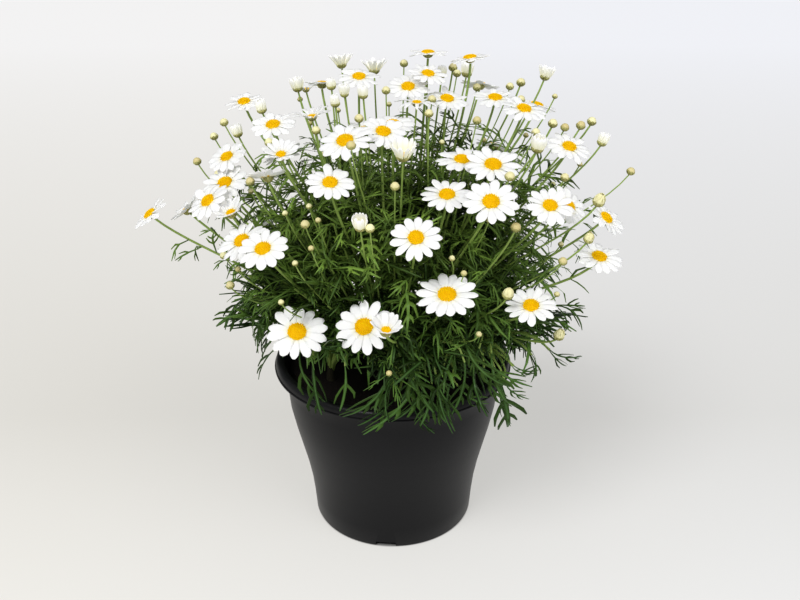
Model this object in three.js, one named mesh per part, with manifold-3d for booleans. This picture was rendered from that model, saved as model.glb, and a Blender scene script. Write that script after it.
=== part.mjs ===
// Potted marguerite daisy: a black nursery pot filled with soil, seven leafy stems that
// branch into shoots and long bare flower stalks, and the open blooms on those stalks.
// Millimetres, +Z up, origin at the middle of the pot's flat base.
import * as THREE from 'three';
import { mergeVertices } from 'three/addons/utils/BufferGeometryUtils.js';
import Module from 'manifold-3d';

const wasm = await Module();
wasm.setup();

// Pot and soil
const roundSides = 26;
const potHeight = 159.5;
const wallThick = 2;
const floorThick = 3;
const rimReach = 105;
const seatGap = 0.35;
const soilTop = 147;
const soilCrown = 3;
const slotWide = 18;
const slotHigh = 5;
const slotDeep = 9;
const slotCount = 4;
const footRadius = 73.1;

// Woody stems and the green core they carry
const stemRadius = 4.5;
const stemFoot = 118;
const stemRing = 24;
const holeSlack = 0.4;
const coreBottom = 158;
const centreApothem = 38;
const splitGap = 0.25;
const sectorTurn = -90;

// Shoots, leaves and stalks
const shootStart = 198;
const shootRadius = 1.6;
const stalkRadius = 1.05;
const bareStalk = 105;
const forkTop = 264;
const stalkSides = 3;
const budSides = 4;
const stalkSteps = 2;
const leafThick = 0.8;
const leafRibHalf = 1.25;
const leafRootHalf = 0.45;
const shootsPerSector = 7;
const shootsInCentre = 4;
const leavesPerShoot = 2;
const leavesOnShoot = 12;
const leafRoom = 9;

// Heads
const petalThick = 0.8;
const discShare = 0.3;
const calyxHigh = 3.4;
const calyxRadius = 4.1;
const domeHigh = 2.6;

// The photograph's lens: where it stood, how it was aimed, and its length in picture columns
const lensPlace = new THREE.Vector3(0, -750, 561);
const lensPitch = THREE.MathUtils.degToRad(25.06);
const lensYaw = THREE.MathUtils.degToRad(0.49);
const lensLength = 949;
const middleColumn = 400;
const middleRow = 300;

const up = new THREE.Vector3(0, 0, 1);
const sightForward = new THREE.Vector3(
  Math.sin(lensYaw) * Math.cos(lensPitch), Math.cos(lensYaw) * Math.cos(lensPitch), -Math.sin(lensPitch));
const sightRight = new THREE.Vector3(Math.cos(lensYaw), -Math.sin(lensYaw), 0);
const sightUp = new THREE.Vector3().crossVectors(sightRight, sightForward);

// Open blooms as the photograph shows them. Each row: picture column, picture row, depth
// behind the pot's axis, width across the petals, lean from upright in degrees, and the
// way it leans in degrees (0 to the front, 90 to the right).
const seenBlooms = [
  [297, 332, -112, 47, 35, 5], [364, 327, -125, 45, 40, -10], [386, 331, -150, 30, 15, 10],
  [447, 295, -130, 45, 22, -6], [531, 306, -110, 40, 20, -17], [416, 238, -125, 38, 35, -2],
  [447, 195, -85, 40, 18, -7], [491, 202, -112, 41, 32, -3], [550, 206, -85, 37, 28, 6],
  [568, 206, -60, 37, 40, 44], [606, 218, -40, 36, 38, 60], [599, 257, -75, 39, 18, 32],
  [493, 165, -68, 43, 21, 7], [462, 160, -50, 40, 12, 12], [330, 183, -105, 36, 24, 7],
  [263, 249, -105, 40, 26, -23], [242, 241, -84, 40, 31, -43], [208, 201, -52, 37, 39, -48],
  [225, 183, -30, 39, 27, -26], [231, 213, -64, 30, 22, -46], [150, 214, -20, 34, 38, -76],
  [227, 157, -10, 34, 29, -39], [273, 125, -30, 36, 18, -14], [244, 102, 20, 33, 15, -23],
  [345, 141, -80, 41, 25, -24], [383, 132, -60, 37, 22, 20], [393, 124, -25, 34, 13, 1],
  [281, 155, -70, 30, 22, -8], [359, 77, 38, 36, 14, 6], [408, 87, 20, 36, 22, -1],
  [447, 99, 15, 36, 17, 27], [428, 74, 28, 34, 14, 30], [428, 53, 58, 34, 5, 180],
  [470, 58, 40, 35, 8, -120], [495, 98, 20, 37, 10, 11], [524, 109, -10, 38, 17, 31],
  [537, 105, 84, 36, 18, 110], [569, 147, -25, 37, 23, 25], [322, 84, 96, 32, 18, 178],
  [480, 85, 104, 36, 25, 156],
];

// Open blooms behind the foliage, which the photograph cannot show. Each row: x, y, z,
// width, lean and way, as above.
const hiddenBlooms = [
  [-146, 60, 276, 40, 45, -115], [-100, 106, 310, 42, 35, -138], [-62, 140, 274, 44, 45, -155],
  [-30, 118, 318, 38, 25, -165], [2, 150, 262, 45, 48, 180], [36, 128, 312, 40, 30, 168],
  [72, 146, 266, 44, 46, 152], [96, 110, 316, 40, 30, 138], [140, 90, 272, 42, 45, 122],
  [-126, 104, 236, 42, 55, -130], [118, 124, 226, 40, 55, 140],
];

// Young blooms, partly open or seen from the side, that stay one body with their stem.
// Columns as in seenBlooms.
const youngBlooms = [
  [187, 210, -10, 30, 41, -91], [268, 177, -60, 28, 24, -156], [365, 130, -4, 32, 5, 21],
];

// Half-open heads with their petals still upright. Each row: column, row, depth, width.
const seenCups = [
  [237, 131, 10, 11], [261, 107, -6, 11], [297, 85, 34, 10], [341, 60, 60, 12], [335, 101, -22, 10],
  [363, 92, -6, 11], [360, 224, -125, 13], [467, 71, 66, 12], [546, 73, 46, 13], [538, 146, -45, 15],
  [403, 153, -78, 18], [603, 140, -10, 11], [599, 201, -90, 13], [589, 238, -92, 10],
  [508, 294, -118, 12], [559, 335, -98, 12], [311, 112, -20, 15], [374, 66, 66, 15],
  [417, 98, -5, 15], [305, 84, 62, 15],
];

// Round closed buds, with the same columns
const seenBuds = [
  [214, 136, 25, 8], [197, 161, 8, 8], [351, 145, -112, 8], [395, 186, -100, 8], [224, 255, -45, 8],
  [230, 285, -80, 8], [404, 63, 60, 8], [521, 82, 54, 9], [592, 121, 10, 9], [631, 171, -20, 8],
  [510, 176, -95, 9], [516, 227, -115, 9],
];

// Closed heads on the side that the photograph cannot show: x, y, z, width
const hiddenBuds = [
  [-160, 92, 296, 8], [-10, 168, 300, 8],
];

// Repeatable draws between 0 and 1, told apart by a whole number
function draw(index) {
  const wave = Math.sin(index * 12.9898) * 43758.5453;
  return wave - Math.floor(wave);
}

function share(value) {
  return value - Math.floor(value);
}

// The point on the sight line through a picture place that lies at a given depth
function placeSeen(column, row, depth) {
  const line = sightForward.clone()
    .addScaledVector(sightRight, (column - middleColumn) / lensLength)
    .addScaledVector(sightUp, (middleRow - row) / lensLength);
  return lensPlace.clone().addScaledVector(line, (depth - lensPlace.y) / line.y);
}

// A direction leant away from upright, towards a compass way with 0 at the front
function leantWay(lean, way) {
  const tilt = THREE.MathUtils.degToRad(lean);
  const turn = THREE.MathUtils.degToRad(way);
  const level = Math.sin(tilt);
  return new THREE.Vector3(level * Math.sin(turn), -level * Math.cos(turn), Math.cos(tilt));
}

// Closed heads look up and a little outwards
function budWay(place) {
  return new THREE.Vector3(place.x / 500, place.y / 500, 1).normalize();
}

// The plan is split into a middle hexagon and six sectors round it, one for each stem
const middleRegion = 6;

function sectorAxis(sector) {
  const turn = THREE.MathUtils.degToRad(sectorTurn + sector * 60);
  return new THREE.Vector3(Math.cos(turn), Math.sin(turn), 0);
}

function inSector(sector, point) {
  const axis = sectorAxis(sector);
  return { along: point.x * axis.x + point.y * axis.y, aside: point.y * axis.x - point.x * axis.y };
}

function fromSector(sector, along, aside, z) {
  const axis = sectorAxis(sector);
  return new THREE.Vector3(axis.x * along - axis.y * aside, axis.y * along + axis.x * aside, z);
}

function regionOf(point) {
  const reaches = [0, 1, 2, 3, 4, 5].map((sector) => inSector(sector, point).along);
  const furthest = Math.max(...reaches);
  return furthest < centreApothem ? middleRegion : reaches.indexOf(furthest);
}

// How far a point lies inside its region
function roomIn(region, point) {
  if (region === middleRegion) {
    const reaches = [0, 1, 2, 3, 4, 5].map((sector) => inSector(sector, point).along);
    return centreApothem - Math.max(...reaches);
  }
  const { along, aside } = inSector(region, point);
  return Math.min(along - centreApothem, along * 0.5 - Math.abs(aside) * Math.sqrt(0.75));
}

// The point moved level until it lies a given distance inside its region
function pulledInside(region, point, room) {
  if (region === middleRegion) {
    const reaches = [0, 1, 2, 3, 4, 5].map((sector) => inSector(sector, point).along);
    const shrink = Math.min(1, (centreApothem - room) / Math.max(...reaches));
    return new THREE.Vector3(point.x * shrink, point.y * shrink, point.z);
  }
  const { along, aside } = inSector(region, point);
  const kept = Math.max(along, centreApothem + room);
  const widest = (kept * 0.5 - room) / Math.sqrt(0.75);
  return fromSector(region, kept, THREE.MathUtils.clamp(aside, -widest, widest), point.z);
}

// Geometry and solids
function geometryOf(points, faces) {
  const geometry = new THREE.BufferGeometry();
  const places = points.flatMap((point) => [point.x, point.y, point.z]);
  geometry.setAttribute('position', new THREE.Float32BufferAttribute(places, 3));
  geometry.setIndex(faces.flat());
  return geometry;
}

function solidOf(geometry) {
  const bare = geometry.clone();
  bare.deleteAttribute('normal');
  bare.deleteAttribute('uv');
  const merged = mergeVertices(bare, 1e-4);
  return new wasm.Manifold(new wasm.Mesh({
    numProp: 3,
    vertProperties: new Float32Array(merged.attributes.position.array),
    triVerts: new Uint32Array(merged.index.array),
  }));
}

function geometryFrom(solid) {
  const mesh = solid.getMesh();
  const geometry = new THREE.BufferGeometry();
  geometry.setAttribute('position', new THREE.BufferAttribute(new Float32Array(mesh.vertProperties), 3));
  geometry.setIndex(new THREE.BufferAttribute(new Uint32Array(mesh.triVerts), 1));
  return geometry;
}

// Cyclic rings of equal length joined by walls and closed by flat ends
function loft(rings) {
  const size = rings[0].length;
  const faces = [];
  for (let level = 0; level + 1 < rings.length; level += 1) {
    for (let side = 0; side < size; side += 1) {
      const next = (side + 1) % size;
      const low = level * size;
      const high = low + size;
      faces.push([low + side, low + next, high + next], [low + side, high + next, high + side]);
    }
  }
  const last = (rings.length - 1) * size;
  for (let side = 1; side + 1 < size; side += 1) {
    faces.push([0, side + 1, side], [last, last + side, last + side + 1]);
  }
  return geometryOf(rings.flat(), faces);
}

// A round rod through stations of place, direction and radius, with its ring kept untwisted
function rod(stations, sides) {
  let sideways = new THREE.Vector3(1, 0, 0);
  const rings = stations.map(({ at, towards, radius }) => {
    sideways = sideways.clone().addScaledVector(towards, -sideways.dot(towards)).normalize();
    const across = new THREE.Vector3().crossVectors(towards, sideways);
    return Array.from({ length: sides }, (_, side) => {
      const turn = (side / sides) * 2 * Math.PI;
      return at.clone()
        .addScaledVector(sideways, Math.cos(turn) * radius)
        .addScaledVector(across, Math.sin(turn) * radius);
    });
  });
  return loft(rings);
}

// Top faces of a blade doubled at a thickness below, with walls round its edge
function blade(tops, downs, faces, edge) {
  const count = tops.length;
  const lows = tops.map((point, index) => point.clone().addScaledVector(downs[index], -1));
  const all = faces.map((face) => [...face]);
  faces.forEach(([a, b, c]) => all.push([a + count, c + count, b + count]));
  edge.forEach((from, index) => {
    const to = edge[(index + 1) % edge.length];
    all.push([to, from, from + count], [to, from + count, to + count]);
  });
  return geometryOf([...tops, ...lows], all);
}

// The pot is one turned wall with a rolled rim and drain slots at its foot
function potWall() {
  const outside = [[71, 0], [footRadius, 2.5], [76.4, 38], [84.4, 76], [92.9, 114], [95.3, 150]];
  const rim = [
    [rimReach - 0.8, 151.2], [rimReach, 152.6], [rimReach - 1.4, 156.8], [rimReach - 5, potHeight],
    [96.7, potHeight],
  ];
  const inside = potInside().reverse();
  return [[0, 0], ...outside, ...rim, ...inside, [0, floorThick]];
}

// The inner wall, from the floor up
function potInside() {
  return [[footRadius - wallThick, floorThick], [74.4, 38], [82.4, 76], [93.3, 150]];
}

function turned(profile) {
  const points = profile.map(([radius, height]) => new THREE.Vector2(radius, height));
  return new THREE.LatheGeometry(points, roundSides).rotateX(Math.PI / 2);
}

function makePot() {
  let pot = solidOf(turned(potWall()));
  for (let slot = 0; slot < slotCount; slot += 1) {
    const cut = new THREE.BoxGeometry(slotWide, slotDeep, slotHigh * 2);
    cut.translate(0, -footRadius, 0);
    cut.rotateZ(THREE.MathUtils.degToRad(-5.5 + (slot * 360) / slotCount));
    pot = pot.subtract(solidOf(cut));
  }
  return geometryFrom(pot);
}

function stemPlaces() {
  const places = [0, 1, 2, 3, 4, 5].map((sector) => fromSector(sector, stemRing + centreApothem, 0, 0));
  return [...places, new THREE.Vector3(0, 0, 0)];
}

// Soil fills the pot and leaves a plain hole for each stem
function makeSoil() {
  const wall = potInside().slice(1, -1).map(([radius, height]) => [radius - seatGap, height]);
  const foot = [footRadius - wallThick - seatGap, floorThick + seatGap];
  const brim = [92.2, soilTop - 1.5];
  const crown = soilTop + soilCrown;
  const profile = [[0, foot[1]], foot, ...wall, brim, [80, soilTop], [40, crown], [0, crown]];
  let soil = solidOf(turned(profile));
  for (const place of stemPlaces()) {
    const hole = new THREE.CylinderGeometry(stemRadius + holeSlack, stemRadius + holeSlack, 60, 6);
    hole.rotateX(Math.PI / 2);
    hole.translate(place.x, place.y, stemFoot + 30 - holeSlack);
    soil = soil.subtract(solidOf(hole));
  }
  return geometryFrom(soil);
}

// Each stem carries a green core: the dense inner foliage as one block per region, with an
// outside of tufts that stand up between hollows
const coreShape = [
  { z: coreBottom, reach: 64 }, { z: 188, reach: 94 }, { z: 232, reach: 104 },
  { z: 268, reach: 96 }, { z: 298, reach: 68 },
];
const middleTop = 318;
const coreRows = 6;
const coreColumns = 7;

// The core's mean reach at a height, nothing above and below it
function coreReach(z) {
  for (let level = 0; level + 1 < coreShape.length; level += 1) {
    const low = coreShape[level];
    const high = coreShape[level + 1];
    if (z >= low.z && z <= high.z) {
      return THREE.MathUtils.mapLinear(z, low.z, high.z, low.reach, high.reach);
    }
  }
  return z > coreBottom && z < middleTop ? centreApothem * 1.15 : 0;
}

function sectorCore(sector) {
  const top = coreShape[coreShape.length - 1].z;
  const inner = centreApothem + splitGap;
  const innerAside = (inner * 0.5 - splitGap) / Math.sqrt(0.75);
  const rings = Array.from({ length: coreRows }, (_, row) => {
    const z = THREE.MathUtils.lerp(coreBottom, top, row / (coreRows - 1));
    const tufts = Array.from({ length: coreColumns }, (__, column) => {
      const onEdge = column === 0 || column === coreColumns - 1 || row === 0 || row === coreRows - 1;
      const isTuft = (row + column) % 2 === 1;
      const key = sector * 90 + row * coreColumns + column;
      const bulge = isTuft ? 1.05 + 0.12 * draw(key) : 0.78 + 0.1 * draw(key);
      const reach = coreReach(z) * (onEdge ? 0.92 : bulge);
      const widest = Math.PI / 6 - Math.asin(splitGap / reach);
      const turn = THREE.MathUtils.lerp(-widest, widest, column / (coreColumns - 1));
      const raised = isTuft && !onEdge ? 7 : 0;
      return fromSector(sector, reach * Math.cos(turn), reach * Math.sin(turn), z + raised);
    });
    return [fromSector(sector, inner, -innerAside, z), ...tufts, fromSector(sector, inner, innerAside, z)];
  });
  return loft(rings);
}

function middleCore() {
  const corner = (centreApothem - splitGap) / Math.cos(Math.PI / 6);
  const rings = [[coreBottom, 1], [292, 1], [middleTop, 0.5]].map(([z, scale]) => (
    [0, 1, 2, 3, 4, 5].map((side) => {
      const turn = THREE.MathUtils.degToRad(sectorTurn + 30 + side * 60);
      return new THREE.Vector3(corner * scale * Math.cos(turn), corner * scale * Math.sin(turn), z);
    })
  ));
  return loft(rings);
}

// Curves: a stalk leaves the core upwards and meets its head along the head's own way
function stalkCurve(region, head, sway) {
  const { along, aside } = inSector(region === middleRegion ? 0 : region, head.foot);
  const z = THREE.MathUtils.clamp(head.foot.z - bareStalk, shootStart, forkTop);
  const furthest = coreReach(z) * 0.7;
  const reach = THREE.MathUtils.clamp(along * (head.start + sway.inset), centreApothem + 6, furthest);
  const start = region === middleRegion
    ? new THREE.Vector3(head.foot.x * 0.5, head.foot.y * 0.5, z)
    : fromSector(region, reach, (aside * reach) / along, z);
  const span = start.distanceTo(head.foot);
  const level = new THREE.Vector3(-head.foot.y, head.foot.x, 0).normalize();
  const rise = start.clone().addScaledVector(up, span * 0.3).addScaledVector(level, sway.aside);
  const arrive = head.foot.clone().addScaledVector(head.way, -span * 0.28).addScaledVector(level, sway.aside);
  const room = 3;
  return new THREE.CubicBezierCurve3(
    pulledInside(region, start, room), pulledInside(region, rise, room),
    pulledInside(region, arrive, room), head.foot);
}

// Ways for a stalk to go round a bloom that hangs in its path, the straightest first
const sways = [0, 10, -10, 18, -18, 28, -28].flatMap((aside) => (
  [0, 0.16, -0.16, 0.3].map((inset) => ({ aside, inset }))));

function clearStalk(region, head, blooms) {
  const others = blooms.filter((bloom) => bloom !== head);
  const curves = sways.map((sway) => stalkCurve(region, head, sway));
  const clear = curves.find((curve) => bentLine(curve, stalkSteps).every((point) => (
    others.every((bloom) => clearOfBloom(point, bloom, 1.8)))));
  return clear ?? curves[0];
}

// Points along the straight pieces that stand for a curve
function bentLine(curve, steps) {
  const corners = curve.getPoints(steps);
  return corners.slice(1).flatMap((corner, index) => (
    Array.from({ length: 12 }, (_, part) => corners[index].clone().lerp(corner, part / 12))));
}

function curveStations(curve, steps, radius) {
  return Array.from({ length: steps + 1 }, (_, step) => ({
    at: curve.getPoint(step / steps), towards: curve.getTangent(step / steps), radius,
  }));
}

function station(head, lift, radius) {
  return { at: head.foot.clone().addScaledVector(head.way, lift), towards: head.way, radius };
}

// What stands on the end of a stalk, as stations above the stalk's end
const headShapes = {
  bloom: (head) => [station(head, calyxHigh, calyxRadius)],
  young: (head) => [station(head, calyxHigh + 0.4, head.width * discShare * 0.24)],
  cup: (head) => [station(head, 3, head.width * 0.42), station(head, 10, head.width * 0.46)],
  bud: (head) => [
    station(head, head.width * 0.4, head.width * 0.52),
    station(head, head.width * 0.9, head.width * 0.3),
  ],
};

const footDepth = {
  bloom: () => petalThick + seatGap + calyxHigh,
  young: () => petalThick + calyxHigh,
  cup: () => 6,
  bud: (width) => width * 0.5,
};

function headOf(kind, place, width, way, number) {
  const foot = place.clone().addScaledVector(way, -footDepth[kind](width));
  return { kind, place, width, way, foot, number, start: 0.45 + 0.12 * draw(number * 3 + 1) };
}

function makeHeads() {
  const open = [
    ...seenBlooms.map(([column, row, depth, ...rest]) => [placeSeen(column, row, depth), ...rest]),
    ...hiddenBlooms.map(([x, y, z, ...rest]) => [new THREE.Vector3(x, y, z), ...rest]),
  ];
  const heads = open.map(([place, width, lean, way], index) => (
    headOf('bloom', place, width, leantWay(lean, way), index + 1)));
  youngBlooms.forEach(([column, row, depth, width, lean, way], index) => {
    heads.push(headOf('young', placeSeen(column, row, depth), width, leantWay(lean, way), 61 + index));
  });
  seenCups.forEach(([column, row, depth, width], index) => {
    const place = placeSeen(column, row, depth);
    heads.push(headOf('cup', place, width, budWay(place), 71 + index));
  });
  seenBuds.forEach(([column, row, depth, width], index) => {
    const place = placeSeen(column, row, depth);
    heads.push(headOf('bud', place, width, budWay(place), 101 + index));
  });
  hiddenBuds.forEach(([x, y, z, width], index) => {
    const place = new THREE.Vector3(x, y, z);
    heads.push(headOf('bud', place, width, budWay(place), 141 + index));
  });
  return heads;
}

// A bloom: a plate of blunt petals that part at the disc, with the disc's low dome on top
function bloomPlate(head, petals, rise) {
  const reach = head.width / 2;
  const disc = reach * discShare;
  const sideways = new THREE.Vector3(0, 1, 0).cross(head.way).normalize();
  const across = new THREE.Vector3().crossVectors(head.way, sideways);
  const local = (radius, turn, lift) => head.place.clone()
    .addScaledVector(sideways, Math.cos(turn) * radius)
    .addScaledVector(across, Math.sin(turn) * radius)
    .addScaledVector(head.way, lift);
  const pitch = (2 * Math.PI) / petals;
  const first = draw(head.number * 5) * pitch;
  const tops = [];
  const faces = [];
  const edge = [];
  for (let petal = 0; petal < petals; petal += 1) {
    const middle = first + petal * pitch;
    const long = reach * (0.93 + 0.07 * draw(head.number * 40 + petal));
    const lift = rise + 1.6 * (draw(head.number * 70 + petal) - 0.5);
    const half = pitch * 0.4;
    tops.push(local(disc, middle - pitch / 2, 0));
    tops.push(local(long, middle - half, lift), local(long, middle + half, lift));
    const valley = petal * 3;
    const next = ((petal + 1) % petals) * 3;
    faces.push([valley, valley + 1, valley + 2], [valley, valley + 2, next]);
    edge.push(valley, valley + 1, valley + 2);
  }
  const floor = [];
  const ring = tops.length;
  for (let half = 0; half < petals / 2; half += 1) {
    tops.push(local(disc * 0.62, first + (2 * half + 0.5) * pitch, domeHigh));
    const valley = half * 6;
    const second = valley + 3;
    const third = (valley + 6) % ring;
    const here = ring + half;
    const after = ring + ((half + 1) % (petals / 2));
    faces.push([valley, second, here], [second, third, here], [third, after, here]);
    if (half > 0 && half + 1 < petals / 2) {
      faces.push([ring, here, here + 1]);
    }
  }
  for (let petal = 1; petal + 1 < petals; petal += 1) {
    floor.push([0, (petal + 1) * 3, petal * 3]);
  }
  return closedPlate(tops, faces, edge, ring, floor, head.way);
}

// The plate's underside repeats its petals, and is flat under the disc
function closedPlate(tops, faces, edge, flatCount, floor, way) {
  const count = tops.length;
  const lows = tops.slice(0, flatCount).map((point) => point.clone().addScaledVector(way, -petalThick));
  const all = faces.map((face) => [...face]);
  faces.filter((face) => face.every((corner) => corner < flatCount))
    .forEach(([a, b, c]) => all.push([a + count, c + count, b + count]));
  floor.forEach(([a, b, c]) => all.push([a + count, b + count, c + count]));
  edge.forEach((from, index) => {
    const to = edge[(index + 1) % edge.length];
    all.push([to, from, from + count], [to, from + count, to + count]);
  });
  return geometryOf([...tops, ...lows], all);
}

const petalCounts = [{ from: 44, petals: 12 }, { from: 37, petals: 10 }, { from: 0, petals: 8 }];

function makeBloom(head) {
  const petals = petalCounts.find(({ from }) => head.width >= from).petals;
  return bloomPlate(head, petals, 0.6);
}

// A leaf: a rib with two pairs of narrow lobes and a pointed end, arched under its weight
const leafPlan = {
  rib: [0, 0.24, 0.42, 0.64],
  lobes: [{ along: 0.56, aside: 0.25 }, { along: 0.82, aside: 0.24 }],
};

function leafPoints(leaf) {
  const side = new THREE.Vector3().crossVectors(leaf.way, up).normalize();
  const face = new THREE.Vector3().crossVectors(side, leaf.way);
  const bend = leaf.arch / leaf.length;
  const onLeaf = (along, aside) => {
    const turn = along * leaf.length * bend;
    const way = leaf.way.clone().multiplyScalar(Math.cos(turn)).addScaledVector(face, -Math.sin(turn));
    const normal = face.clone().multiplyScalar(Math.cos(turn)).addScaledVector(leaf.way, Math.sin(turn));
    const at = leaf.root.clone()
      .addScaledVector(leaf.way, Math.sin(turn) / bend)
      .addScaledVector(face, -(1 - Math.cos(turn)) / bend)
      .addScaledVector(side, aside)
      .addScaledVector(normal, Math.abs(aside) * leaf.fold);
    return { at, normal, way };
  };
  const marks = leafPlan.rib.flatMap((along) => {
    const half = along > 0 ? leafRibHalf : leafRootHalf;
    return [onLeaf(along, -half), onLeaf(along, half)];
  });
  leafPlan.lobes.forEach(({ along, aside }) => {
    marks.push(onLeaf(along, -aside * leaf.length), onLeaf(along, aside * leaf.length));
  });
  marks.push(onLeaf(1, 0));
  return marks;
}

const leafFaces = [
  [0, 1, 3], [0, 3, 2], [2, 3, 5], [2, 5, 4], [4, 5, 7], [4, 7, 6],
  [2, 4, 8], [3, 9, 5], [4, 6, 10], [5, 11, 7], [6, 7, 12],
];
const leafEdge = [0, 1, 3, 9, 5, 11, 7, 12, 6, 10, 4, 8, 2];

function leafSolid(leaf) {
  const marks = leafPoints(leaf);
  const downs = marks.map(({ normal }) => normal.clone().multiplyScalar(leafThick));
  const tops = marks.map(({ at, normal }) => at.addScaledVector(normal, leafThick / 2));
  return blade(tops, downs, leafFaces, leafEdge);
}

// Shoots fan out from the core to an even dome, whatever their number
function shootOf(region, index) {
  const spread = share(0.5 + (index + region * 0.37) * 0.7548777);
  const height = share(0.5 + (index + region * 0.61) * 0.5698403);
  const elevation = THREE.MathUtils.degToRad(-24 + 92 * height);
  if (region === middleRegion) {
    const turn = (index + 0.5) * 2.39996;
    const off = 26 * Math.sqrt(share(0.3 + index * 0.618));
    const tip = new THREE.Vector3(off * Math.cos(turn), off * Math.sin(turn), 338);
    const start = new THREE.Vector3(tip.x * 0.4, tip.y * 0.4, 240);
    return new THREE.LineCurve3(start, tip);
  }
  const turn = THREE.MathUtils.degToRad((spread - 0.5) * 50);
  const reach = 128 * Math.pow(Math.cos(elevation), 0.8);
  const z = 215 + Math.sin(elevation) * (elevation > 0 ? 118 : 60);
  const tip = pulledInside(region, fromSector(region, reach * Math.cos(turn), reach * Math.sin(turn), z), 4);
  const { along, aside } = inSector(region, tip);
  const startReach = Math.max(along * 0.5, centreApothem + 6);
  const start = fromSector(region, startReach, (aside * startReach) / along, shootStart + 20 * height);
  return new THREE.LineCurve3(start, tip);
}

// Leaf number n of a shoot, counted down from the tip, spirals round it
function leafOf(curve, region, index, number) {
  const key = region * 4000 + index * 20 + number;
  const part = 1 - 0.06 - (number / leavesOnShoot) * 0.55;
  const root = curve.getPoint(part);
  const along = curve.getTangent(part);
  const outside = new THREE.Vector3(along.y, -along.x, 0.2);
  const sideways = new THREE.Vector3().crossVectors(along, outside).normalize();
  const turn = number * 2.39996 + index * 0.9;
  const round = sideways.clone().applyAxisAngle(along, turn);
  const open = THREE.MathUtils.degToRad(38 + 26 * draw(key));
  const way = along.clone().multiplyScalar(Math.cos(open)).addScaledVector(round, Math.sin(open)).normalize();
  const length = 42 + 20 * draw(key + 0.3) - (number < 2 ? 6 : 0);
  return { root, way, length, arch: 0.5 + 0.7 * draw(key + 0.6), fold: 0.18 + 0.2 * draw(key + 0.8) };
}

// A point keeps clear of a bloom when it lies off the bloom's flat drum
function clearOfBloom(point, bloom, room) {
  const off = point.clone().sub(bloom.place);
  const lift = off.dot(bloom.way);
  const level = Math.sqrt(Math.max(0, off.lengthSq() - lift * lift));
  return level > bloom.width / 2 + room || lift < -3.5 - room || lift > 4.5 + room;
}

function leafIsClear(leaf, region, blooms) {
  const corners = leafPoints(leaf).map(({ at }) => at);
  const outer = corners.slice(2);
  const between = leafEdge.map((from, index) => (
    corners[from].clone().lerp(corners[leafEdge[(index + 1) % leafEdge.length]], 0.5)));
  return outer.every((corner) => Math.hypot(corner.x, corner.y) > coreReach(corner.z))
    && corners.every((corner) => roomIn(region, corner) > splitGap + leafThick)
    && [...corners, ...between].every((corner) => blooms.every((bloom) => clearOfBloom(corner, bloom, 1.5)))
    && corners.every((corner) => clearOfPot(corner));
}

// Two leaves are apart when no corner or middle of one comes near the other's, roots left out
function leafIsApart(leaf, others, room) {
  const own = leafPoints(leaf).slice(2).map(({ at }) => at);
  own.push(own[0].clone().lerp(own[own.length - 1], 0.5));
  const isFar = (place) => own.every((mark) => mark.distanceTo(place) > room);
  return others.every((other) => other.every(isFar));
}

// Clear of the rim: above it, or outside it
function clearOfPot(point) {
  const reach = Math.hypot(point.x, point.y);
  return point.z > potHeight + 1 || reach > rimReach + 1.5;
}

function stemSolids(region, heads, blooms) {
  const place = stemPlaces()[region];
  const stem = new THREE.CylinderGeometry(stemRadius, stemRadius, coreBottom + 8 - stemFoot, 6);
  stem.rotateX(Math.PI / 2);
  stem.translate(place.x, place.y, (coreBottom + 8 + stemFoot) / 2);
  const solids = [stem, region === middleRegion ? middleCore() : sectorCore(region)];
  for (const head of heads) {
    const curve = clearStalk(region, head, blooms);
    const sides = head.kind === 'bud' || head.kind === 'cup' ? budSides : stalkSides;
    const stalk = curveStations(curve, stalkSteps, stalkRadius);
    solids.push(rod([...stalk, ...headShapes[head.kind](head)], sides));
    if (head.kind === 'young') {
      solids.push(bloomPlate(head, 6, head.width * 0.16));
    }
  }
  const placed = [];
  const shoots = region === middleRegion ? shootsInCentre : shootsPerSector;
  for (let index = 0; index < shoots; index += 1) {
    const curve = shootOf(region, index);
    solids.push(rod(curveStations(curve, 1, shootRadius), 3));
    let kept = 0;
    for (let number = 0; number < leavesOnShoot && kept < leavesPerShoot; number += 1) {
      const leaf = leafOf(curve, region, index, number);
      if (leafIsClear(leaf, region, blooms) && leafIsApart(leaf, placed, leafRoom)) {
        solids.push(leafSolid(leaf));
        placed.push(leafPoints(leaf).slice(2).map(({ at }) => at));
        kept += 1;
      }
    }
  }
  return solids;
}

function makeStem(region, heads, blooms) {
  const solids = stemSolids(region, heads, blooms).map((geometry) => solidOf(geometry));
  return geometryFrom(wasm.Manifold.union(solids));
}

const potPlastic = new THREE.MeshStandardMaterial({ color: 0x2b2c2e, roughness: 0.55 });
const soilMatter = new THREE.MeshStandardMaterial({ color: 0x3a2a20, roughness: 0.95 });
const leafGreen = new THREE.MeshStandardMaterial({ color: 0x3f6b3c, roughness: 0.6 });
const petalWhite = new THREE.MeshStandardMaterial({ color: 0xf6f6f2, roughness: 0.55 });

function named(name, geometry, material) {
  const mesh = new THREE.Mesh(geometry, material);
  mesh.name = name;
  return mesh;
}

const plant = new THREE.Group();
plant.add(named('pot', makePot(), potPlastic));
plant.add(named('soil', makeSoil(), soilMatter));

const heads = makeHeads();
const blooms = heads.filter((head) => head.kind === 'bloom');
for (let region = 0; region <= middleRegion; region += 1) {
  const own = heads.filter((head) => regionOf(head.foot) === region);
  const name = region === middleRegion ? 'leafy_stem_middle' : `leafy_stem_${region + 1}`;
  plant.add(named(name, makeStem(region, own, blooms), leafGreen));
}
for (const head of blooms) {
  plant.add(named(`bloom_${String(head.number).padStart(2, '0')}`, makeBloom(head), petalWhite));
}

export default plant;
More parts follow.
